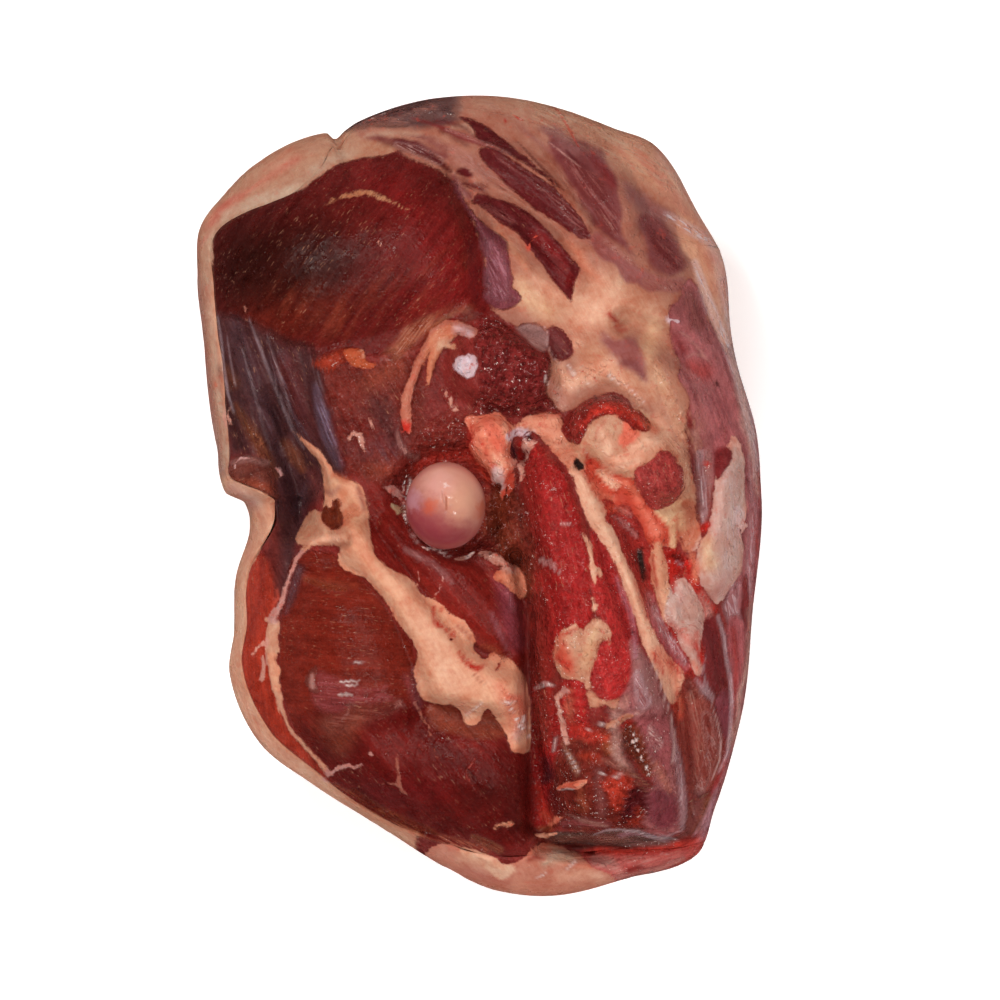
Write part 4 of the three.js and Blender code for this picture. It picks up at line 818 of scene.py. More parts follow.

# %% [markdown]
# ## Strands
#
# Cream strands of tendon run from the joint to the shank between the band and the outer thigh. They
# are narrow spines with height of their own, which the light then edges by itself.

# %% Strands between the band and the outer thigh
# curls of blood-red tissue, and the gap below them, painted near black as its shade
# painted shade: the same dark pocket, deepened
# painted shadow: the dark slit at the end of the red strand
add_layers("The strands' side", """
lean crimson, 1 grain -62 rag .8 wet .9 coarse .3: 34 6,44 4,52 -4,58 -14,64 -22,70 -32,68 -44,68 -56,
  64 -66,60 -70,57 -60,51 -46,46 -34,42 -20,36 -8,31 2
# yellow and brown fat below the round muscle, and the grey strip beside it
fat yellow cream, up .6 shoulder 2 rag .8 wet .6: 49 -2,52 -4,56 -4.6,60 -2,63 -3,62 -8,60 -12,59 -15.5,
  56 -16,55.6 -11,52 -6.4,49.6 -3.4
fat ember fat, 1.2 up .2 rag .8 wet .5 feather .8: 61 -2,64 -2,66 -8,66 -15,63.6 -17.4,60.6 -15,60 -10
film grey membrane, .8 .85 streak .35 grain -84: 64 14,69.6 14,70 5,69 -3,68 -9,65.6 -7,65 0,64.6 6
film blue white, .4 .7 streak .8: 66 13 .5,66.6 4 .6,67.4 -3 .5,67 -8 .2
lean maroon red, .7 grain -80 rag .5: 70 15,70 6,71.6 4.6,74.4 9,76.4 14
# the fat lobe at the side
fat mauve cream, up 2.2 shoulder 3.5 rag .5 wet .3: 77 14,79.4 8,80 2,79 -1,77.6 -3,78.2 -6,78 -10,79 -14,
  79 -20,78 -24,75 -28,71.4 -33.4,69 -30,66.6 -26,64.4 -22,64.8 -18,66 -14,68.6 -10,69.4 -5,70 0,71 4,
  74 8.4,76 12
glaze yellow cream, 2.5 .8: 68 -14 2,68.6 -20 2.4
glaze dusky fat, 2 .8: 74 -24 1.6,72 -28 2.2,70 -30 1
film lilac, 1.4 .4 streak .9 grain -86: 75 6 2,75 -8 2.6,75 -20 2
film dusky fat, 1 .5 streak 1 grain -86: 72.6 2 1,72 -8 1.6,72 -16 1.4
fat white pink, up 1.2 shoulder 1 rag .5 wet 1 feather .15: 77.6 -4.4 .5,78.2 -7 .7,80.4 -9 .6,78.8 -11 .4
glaze yellow cream, 1.6 .9: 60 -5 1,60.6 -9 1.2
blood, .8 .95: 67.2 -9.6 1.2,68.6 -8.4 .8
blood, .6 .9: 68 9.8 .7,68.6 9.2 .6
# the long tendon
fat pale cream, up 1.6 shoulder 2.6 rag .4 wet .35: 27.6 9,31.4 8.6,34.4 4,36.8 -1,38.6 -5,39.6 -8.6,41 -12,
  42.4 -16,44.4 -20.4,47 -26,49 -32,51 -38,54 -44,56 -47.6,60 -50,61.6 -52.6,61 -56.4,60.4 -60,59 -62.6,
  57 -62,55.4 -59.4,53.4 -54,51 -49,49.4 -45,47.4 -40,46 -36,44.4 -31,42.8 -27,41.8 -23,40 -19,37.4 -15,
  34.6 -11,32 -7,30.4 -2,29 3
film lilac edge, .8 .8 streak .4 grain -64: 41 -24.6 .4,43.4 -30 .9,45.6 -36 .8
film warm fat, 1 .6 streak .9 grain -64: 34 -4 1.6,41 -18 1.4,47 -32 1.4,52 -43 1.4
glaze orange red, 1.2 .8 wet .9: 46.6 -26 .4,49 -32 .7,50 -36 .4
glaze salmon, 2 .85 wet .8: 53 -46 1.2,57 -51 1.6,59 -58 .8
blood, .7 .95: 52 -47 .6,53.6 -50 .8,55 -53.4 .4
glaze orange red, 1.4 .8 wet 1: 31.6 7 .8,33.6 4 .9,36 0 .5
blood, .8 .9: 56.6 -49.6 .7,59 -51.4 1,60.4 -54 .5
# the red torn strand
fat orange red, up 1.6 shoulder 1.5 rag .9 wet 1: 32 10.4,34.6 10.4,37 7.4,40 5,45 4,48.4 1,50.6 -3.4,53 -7,
  56 -10.6,56.2 -14,54.4 -16,51.6 -15,50 -13,48.4 -9,46 -5.4,43 -3,39 -1.6,36 .6,33.6 4.6
glaze salmon, .8 .9 wet 1: 33.6 3.6 .6,36 .4 .9,40 -1 .8
glaze pink fat, 1.4 .9 wet .8: 47 0 1,49 -4 1.2,53 -11 1.8
fat bright cream, up .6 shoulder .8 rag .6 wet 1 feather .15: 36.6 7 .3,38.6 4.8 .5,40.4 3.4 .3
lean dark, rag .2: 55.6 -11.6 .2,55.4 -13.6 .4
# curls of blood-red tissue, and the dark gap below them
lean crimson, up .6 shoulder 1.2 rag .9 wet 1 coarse .6 grain -35: 38 -5.4,40 -3,44 -2.4,46.6 -5,48.6 -9,
  50 -13,50 -16.4,46.6 -14,43 -12,41 -9.4,38.4 -8
film dusky fat, .5 .7 streak .6 grain -35: 41 -3.6 .3,43 -4.6 .7,45.4 -5.6 .5
film white pink, .3 .75 streak .9 grain -45: 40 -6 .3,43 -8 .8,47 -12 .6
lean green black, up -3 shoulder 1.8 rag .5 wet 1 coarse .6 grain -64: 46.8 -15.4,48.4 -15.4,49.4 -18,
  49.6 -22,50.2 -25.6,49.2 -26,48 -23,47 -19
# membranes between the two tendons
lean mauve red, .6 rag .6 grain -66 wet .9: 49.6 -28,52.4 -29,54.6 -36,57 -42,60.6 -47,63 -51,61.6 -52.6,
  58 -49.4,54.4 -44,51.6 -38,50 -33
film blue white, .4 .75 streak .95 grain -62: 52 -33 .6,55 -40 1,59 -46 1,62 -50 .4
# the short tendon, and the lobe below it
fat seam, up 2 shoulder 2 rag .5 wet .7: 51 -15.6,54.8 -15,55.8 -20,57.2 -26,58.6 -30,60 -33,61 -38,58 -40,
  55.6 -38,54 -34,52.6 -29,51.4 -24,51 -20
blood, .6 .9: 51.4 -18 .3,52 -22 .7,53 -27 .4
fat mauve cream, up 2 shoulder 2.8 rag .5 wet .5: 58.2 -29,58.4 -26.4,60 -24.6,62 -25,64 -28,66.6 -32,
  67.6 -36,67 -40,66 -44,66 -48,67 -50.4,66.4 -54,65 -54.6,63 -50,60.6 -45.6,58.4 -41,56.6 -37,57 -32
glaze orange red, 1.4 .75 wet .9: 65 -41 .8,64.4 -45 .8,57 -38 .5
glaze salmon, 1 .8 wet .9: 64 -50 .6,65.6 -53 .6
blood, .8 .95: 64.6 -44 .4,66 -48 .9,66.8 -50 .6
# the clot with its arms, and the open end of the vessel
lean blood, up -.6 shoulder 1.2 rag .8 wet 1 coarse .8: 55.6 -17,58 -15.4,60.4 -16.4,61.6 -18.4,65.4 -19.6,
  63 -21.4,63.2 -23.4,60 -22,58.8 -24.4,57 -22,55.8 -19.6
wash dark, .8 .85: 56.6 -18 .6,59 -18.2 .9,60.4 -19.4 .4
stain salmon, .8 .8: 63.6 -17.6 .8,65 -21 1,64.4 -25 1
stain dusky fat, 1.2 .75: 66.6 -29.6 .8,68.4 -33 1,68.6 -37 .9
film pale silver, .4 .8 streak .3: 58.6 -19.6 .4,60.6 -20.6 .5
blood, .4 .95: 62.6 -23 .6,64.6 -26.6 .45,67 -30 .35,71 -34.6 .3
blood, .4 .9: 57 -21.6 .5,57.8 -25 .4,58.4 -29 .3
lean green black, up -1.5 shoulder 1 rag .4 wet 1: 28.8 10 1,30 8.8 1.2
# the strip at the outer edge
film lilac, 1 .55 streak .9 grain -86: 81.4 12 .8,82.4 0 1,81.4 -14 1,80.6 -30 1
lean maroon red, grain -80 rag .7: 80 -22,81 -30,80.6 -40,78.6 -40,78.6 -30,78.8 -25
film lilac, 1.2 .6 streak .9 grain -72: 77 -27 1,75 -33 2,77 -39 2
stain orange red, .9 .9 rag .6 wet 1: 38.6 -3.6 .8,41 -3.4 1.2,44 -4.4 .9
stain salmon, .9 .85 rag .6: 40.4 4.6 .5,43.6 3.6 1,47 1 .8
blood, .9 .95 rag .7: 55.6 -17 .6,57 -20 1,58.4 -22.6 .5
stain dusky fat, 1.2 .8 rag .6: 58.6 -27 .8,60.4 -30 1,60 -33 .6
""")

# %% [markdown]
# ## The shank end
#
# At the near end the shank was cut away. What is left is a sheath of membrane round the stump of its
# muscles, a dark hollow under it, and torn fat at the edge.

# %% The shank end
# a painted glint along the flap's lower edge
# painted glints on the deep orange lump
# painted glints on the lip
# painted glints: a line of bright specks down the wet hole
# painted glints: bright strands and specks on the wet tissue
# painted shade along the groove at the bundle's upper end
# painted shade in the depth of the hole
# painted shadow under the ledge
# painted shadow under the sheath's lower edge
# the ledge, with painted shadow along it and under it
# the second fold of it, below a line of painted shade
add_layers("The shank end", """
lean raw brown, 1 grain -70 coarse .5 rag .8 wet .9: 22 -76,32 -72,43 -70,46 -86,50 -88,50 -98,44 -101,
  34 -100,24 -100,20 -96,22 -88
wash blue black, 1.6 .9: 20 -79 1,21 -84 1.4,18.6 -86 .6
wash maroon, 1.6 .9: 21.6 -89 1.4,23.4 -94 1.4
wash fresh blood, 1.4 .9: 17.4 -86 .5,18 -91 1,20 -96 1.4
wash orange red, 1 .8: 19 -95 .7,21 -97.4 .8
fat salmon, .8 up .6 rag .5 wet 1 feather .5: 21.6 -98.4 .5,23 -97 .9,24.6 -96.2 .3
wash ember, 1.4 .85: 30 -88 1,31 -93 1.4
film dusk, 1 .85 streak .6 grain -84: 35.6 -82 .8,36 -88 1.1,36.6 -95 1
wash rust, 1.4 .95: 38 -72.4 1.4,39 -76 1.6
wash band red, 1.4 .9: 31 -77.4 1,36 -78.4 1.2
film dusky fat, 1.2 .85 streak .3 grain -60: 41 -69.6 .8,41.6 -74 1.2,41.6 -78.6 1.4,44 -81 1.4,46 -83.6 .8
film tan mauve, 1 .8 streak .6 grain -40: 37.4 -79 .6,41 -80.6 1,44.6 -83 .8
film peach, .5 .9 streak .8 grain -58: 25 -74 .4,26.6 -77.4 1,28.6 -81 1.2,29.4 -83.4 .6
film wet white, .3 .6: 25.6 -76 .1,27.6 -79 .25,29.4 -82.4 .1
film wet white, .4 .8 streak .9 grain 70: 22 -76.4 .3,22.6 -74 .6,23.4 -72 .3
fat salmon, up 1.6 shoulder 1.6 rag .4 wet 1 feather .2: 22.6 -87.6,25 -86,28 -85.4,30 -84.4,32.6 -84.4,
  31.8 -86.4,29 -87.8,27 -87.2,24 -88
glaze orange red, .8 .7: 25 -87 .5,27.6 -86.2 .5
glaze bright cream, .4 .9: 29 -87.4 .3,31.4 -85.6 .6
film wet white, .3 .7: 24 -87.9 .1,26.4 -87.5 .25,28.4 -87.7 .2
lean deep orange, up 1.2 shoulder 1.6 rag 1 wet 1 coarse .9 grain -48: 36.6 -86.4,38.4 -84,40.4 -82,
  43 -82.4,46.4 -84.6,45.6 -86.6,44.6 -88.4,43.4 -91.6,41 -94.8,39.4 -94.4,38.6 -91,37.2 -88.4
film wet white, .3 .8 streak .7: 40.4 -84 .3,42 -82.8 .3
film wet white, .3 .8 streak .4: 36.2 -82.6 .35,37 -83 .3
lean maroon, up -1 shoulder 2 rag .7 wet 1 coarse .9: 44.6 -88,47.6 -86.6,50 -88.6,50.4 -94,49.6 -98.6,
  43.6 -98.6,41.8 -96
wash band red, 1 .9: 48 -94 1,48 -97.4 1.2,45 -97.6 .8
film fold mauve, 1 .85 streak .5 grain 4: 25 -98 .8,31 -97.6 1.2,38 -98.4 1
film dusky fat, .4 .7 streak .5 grain -20: 26 -95 .2,32 -97.4 .4,38 -98.8 .3
# the sheath
lean sheath, .6 grain -70 rag .4 wet .9 up .8 shoulder 2: 44 -42,47 -44,51 -50,54 -57,57 -65,58.6 -72,
  60 -78,61.6 -86,62.2 -94,61.4 -99.4,58 -102,50 -99.4,48 -98,50 -94,50 -88,53 -87,52 -84,50 -80,48 -74,
  46.4 -69,44 -65.4,40 -63.6,44 -58,46.4 -51
film grey membrane, 1.5 .8 streak .15: 47 -46 1,49 -54 3,50 -60 3,54 -62 1.2
film dusky fat, 1 .6 streak .6 grain -20: 39 -64 .8,42 -66 1.2,48 -64.6 1
film lilac, .8 .6 streak .95 grain -58: 47 -54 1,49 -62 1.8
film lilac edge, .6 .8 streak .1: 45.6 -36 .5,46.4 -42 .6,46.6 -48 .6
film pink white, 1 .7 streak .3: 39 -62.6 .6,43 -62.6 1.4,44 -60 .8
# the second fold of it, below a dark line
lean fold mauve, .5 grain -35 rag .4 wet .9 up -.8 shoulder 1.4: 45.6 -65.8,50 -66.4,56.6 -65.4,57.8 -72,
  57.6 -79,56.6 -84,53 -80.6,50.6 -76,48.4 -70.6
film white pink, .5 .7 streak .95 grain -35: 51 -69 .8,53 -74 1.8,50.6 -72 .8
wash dark plum, .5 .8: 45.6 -65.8 .1,50 -66.2 .3,56.6 -65.4 .2
# the wet hole beside it
lean speckled brown, .5 up -1.6 shoulder 2.2 rag .35 wet 1 coarse .7: 43 -68,44.6 -66.4,46 -66.8,47.4 -69,
  49 -72.4,50 -75.6,51.4 -80,52.4 -83.6,50 -84.4,47.4 -80.4,45 -77.4,43 -75,42.6 -71
wash blood, .7 .85: 43 -69 .4,44.8 -67 .5,46 -69 .3
wash dark, .7 .8: 43.4 -72 .5,45 -76.6 .5,48 -80.6 .4
fat peach, up .6 rag .5 wet .9: 38 -69 .8,41 -68 1.1,42.6 -66.4 .7,44.6 -65.4 .5,46.4 -65.8 .2
film peach, .3 .85 streak .3 grain -40: 45.6 -82.6 .2,48.4 -84.8 .4,51.4 -87.6 .2
film peach, .3 .7 streak .3 grain -40: 45.8 -84.6 .15,48 -86.4 .3,50 -88.4 .15
film dusky fat, .4 .7 streak .4 grain -58: 49.8 -76 .15,52.6 -81.4 .35,56.6 -86.6 .2
lean purple muscle, .8 grain -75 rag .4 wet .4 up .6 shoulder 2: 50.6 -88.6,54 -87.6,58.4 -89,60 -94,59 -99,
  54 -99.6,50.4 -98,50 -93
film lilac, .6 .7 streak .6 grain -80: 57.4 -68 .4,58.6 -74 .8,59.8 -80 1.2,60.8 -88 1.2,61.2 -95 1,
  60.6 -100 .5
film white pink, .3 .9 streak 0: 51 -48.6 .15,53 -53 .3,55 -58.6 .35,57.2 -65 .35,58.2 -71 .35,58.2 -78 .3,
  57 -81 .1
# the ledge
lean ledge brown, .6 grain 2 rag .8 wet .7 coarse .2: 20 -100.6,28 -101,34 -100.8,40 -99.6,48 -99.6,
  58 -102.6,63 -99.6,64.4 -103,60 -105,50 -105.4,38 -105.2,28 -104.4,20 -103.4
wash dark, 1 .8: 22 -102.6 .8,28 -102.6 1,35 -102 .8
film plum grey, .6 .8 streak .8 grain 4: 36 -103 .6,42 -103.4 1,50 -104.4 .8,57 -104 .8
film tan mauve, .8 .6 streak .6 grain 6: 24 -102.6 .8,34 -102.4 1,44 -103 .8
film lilac edge, .5 .8 streak .5 grain 12: 42 -101.6 .6,47 -100.6 .9,52 -102 .8,56 -103 .6
lean fold mauve, .4 grain 0 rag .4 up .4: 50 -100.4 .5,54 -100.6 1,57.6 -101.6 .6
film lilac, .3 .7 streak .4: 34 -101.4 .1,38 -100 .3,42 -99.8 .25,48 -100.6 .35,52 -102.4 .4,55 -102.6 .3,
  57.4 -101.4 .3,60 -100.4 .2
film lilac, .3 .6 streak .3: 53 -101 .15,56 -102 .3,59.6 -103.2 .2
wash dark, .6 .9: 28 -105 .4,38 -105.4 .7,46 -105.4 .6,52 -105.2 .3
stain rust, 1 .8: 18 -99.6 .6,21 -99.8 .8
fat bright cream, up 1 rag .4 wet 1 feather .2: 17 -101.4 .5,20 -101.6 .9,23 -101.2 .3
# the outer thigh's bundle, and what lies over it
lean brown streak, .6 grain -78 rag .5 wet .5: 60.6 -56,62 -53.6,64.6 -55,68.4 -60,71.6 -68,73.2 -77,72 -84,
  68 -90,62.4 -91,61.4 -84,60 -76,58.6 -70,59.6 -64
film tan mauve, 1.2 .7 streak 1 grain -76: 64 -60 2,66.6 -68 3,67.6 -78 3.4,65.6 -87 2
film pale mauve, .8 .6 streak 1 grain -68: 68 -66 1.4,70 -76 1.6,66 -88 1.4
stain orange red, 1 .85: 59 -59 .6,60 -62 1.1,60 -66 .8
stain salmon, .6 .6: 59.6 -60 .4,60.6 -64 .4
wash dark, 1.2 .7: 62 -54.6 .6,63.6 -60 1
film lilac, .8 .7 streak .3 grain -50: 65 -55 .5,67.4 -58.4 1,69.6 -61 .4
lean maroon red, .5 grain -74 rag .5 up -.3: 67.6 -36,70 -36,71.4 -40,72 -46,73.6 -52,73.4 -57,71.4 -59.8,
  69 -58,67.2 -55,66.8 -52,67.8 -48,66.6 -45,66.6 -40
film lilac, .4 .7 streak .2: 67.6 -48 .15,66.8 -53 .3,68.4 -57.4 .35,70.6 -60.6 .2
lean purple muscle, grain -70 rag .4: 71 -60,74 -57,75.2 -62,75 -70,73.6 -74,72 -68,70.4 -63
lean mauve red, .6 grain -84 rag .5: 74 -36,79.4 -36,79.8 -46,78.6 -58,77 -70,75 -78,75.8 -68,75.6 -58,
  74.6 -48
wash crimson, .8 .7: 76 -40 .8,77 -50 .8,76.4 -60 .6,76 -70 .6
film lilac, .6 .8 streak .5 grain -84: 71.4 -36 .4,73.2 -42 .6,73.8 -48 .5,75.2 -55 .6,75.6 -62 .6,
  75.2 -70 .5,74.4 -77 .4,71.6 -83 .3
film white pink, .3 .85: 69.4 -62 .15,71.2 -67.4 .3,72.4 -73 .35,72 -79 .25,69.6 -85 .2
wash blood, .6 .7: 73.6 -79 .5,70.6 -87 .5,68 -96 .6
lean dull ember, .6 grain -62 rag .6 wet .6: 62.6 -92.4,66 -91.4,70 -89.6,69.6 -94,67 -99,63.6 -102.6,
  61.6 -101,62.6 -96
fat green cream, up .3 rag .4 wet .6 feather .15: 62.4 -91.6 .3,65.6 -90.8 .4,69 -89 .3
# the lip below the ledge
lean lip red, 1.4 grain 14 rag .9 wet .7: 26 -108,34 -106.6,46 -106.8,58 -106,64 -103,70 -98,74 -104,
  64 -114,50 -120,38 -120,30 -112
wash fresh blood, 1.2 .95: 31 -107 .4,36 -106.4 1,44 -106.8 .8,56 -105.6 1,63 -103.4 1.4
wash crimson, 2 .8: 46 -107.6 .6,56 -107 .8,64 -104.4 1
film mauve cream, 2 .8 streak .4 grain 14: 35 -109.6 1.4,39 -110 1.6,42 -112.6 .8
film dusky fat, 1.4 .6 streak .9 grain 16: 44 -109 1,52 -109.6 1.4,60 -107.6 1
film mauve cream, .8 .8 streak .6 grain 16: 38 -115 .6,46 -113.8 .8,54 -111.6 .6,61 -108.6 .6
wash crescent, 1 .9: 44.6 -112 .8,47.8 -111 .9
fat lip, 1 up .4 rag .8: -14 -104,-6 -104.6,2 -107,10 -111.6,15 -107,18 -103.6,24 -104.4,31 -108,36 -112,
  42 -115,44 -124,0 -126,-20 -112
glaze orange fat, 4 .5: 6 -116 2,18 -117 2,32 -116 2
glaze bright cream, 2 .7: 24 -114 1,32 -113 1.6,37 -114.6 1
glaze pale cream, 2 .7: -6 -108 1,2 -111 1.5
glaze beige, 1.6 .9 wet 1: 19.6 -110 1,23 -108 2,27 -108.6 1.2
glaze salmon, 1.5 .7 wet 1: 15.6 -106 1,19 -105 1.2
stain crescent, 1 .8: 14.6 -109 .4,16.6 -108 .9,18.6 -108.8 .4
stain crimson, .6 .85: 31 -108.4 .3,33.4 -106.8 .6,35 -107.4 .3
film wet white, .3 .8 streak .3: 16.6 -114.6 .15,19 -113.6 .3,20 -112.6 .1
film wet white, .4 .7 streak .7 grain 62: 26 -112 .3,28.6 -109.4 .5
glaze sheath red, 2.5 .5: -4 -112 .6,8 -116 .8
fat pale cream, up 1.2 shoulder 1.4 rag .6: -4 -106.4 .5,2 -109 1,7 -112.4 1.2,9 -112 .3
stain streaky plum, 2 .9 wet .8: 66 -90 2,64.6 -96 2.6,62 -101.6 1.6
film lilac edge, .6 .7 streak .6 grain 66: 70 -90.6 .5,67.4 -97 .8,64.4 -101.6 .5
stain crescent, 1 .8: 60.4 -103.4 .6,63 -102.6 .9,65 -101.6 .4
stain fresh blood, 1.6 .7: 28 -69 1.6,33 -71.6 2.2,38 -72.4 1
stain mauve cream, 1 .6 rag .6: 41 -65.6 .8,40.4 -70 .7,40.2 -76 .8,42.6 -80.6 .7
stain salmon, 1 .6 rag .6: 52.4 -79.4 .4,54.6 -83.2 .9,57 -88 .4
fat wet white, .2 up .1 wet 1: 45 -68.4 .2,45.1 -69.2 .4 | 45.8 -70.9 .4,46.2 -71.7 .2 | 45.5 -73.2 .35,
  46.5 -74.8 .45 | 47.5 -75.7 .35,47.7 -76.4 .2 | 48.2 -77.6 .4,48.5 -79.3 .35 | 49.8 -80.6 .4,50.4 -82 .4 |
  50.1 -83.2 .35,50.9 -83.9 .2 | 46.8 -72.6 .3,47 -73.2 .2
""")
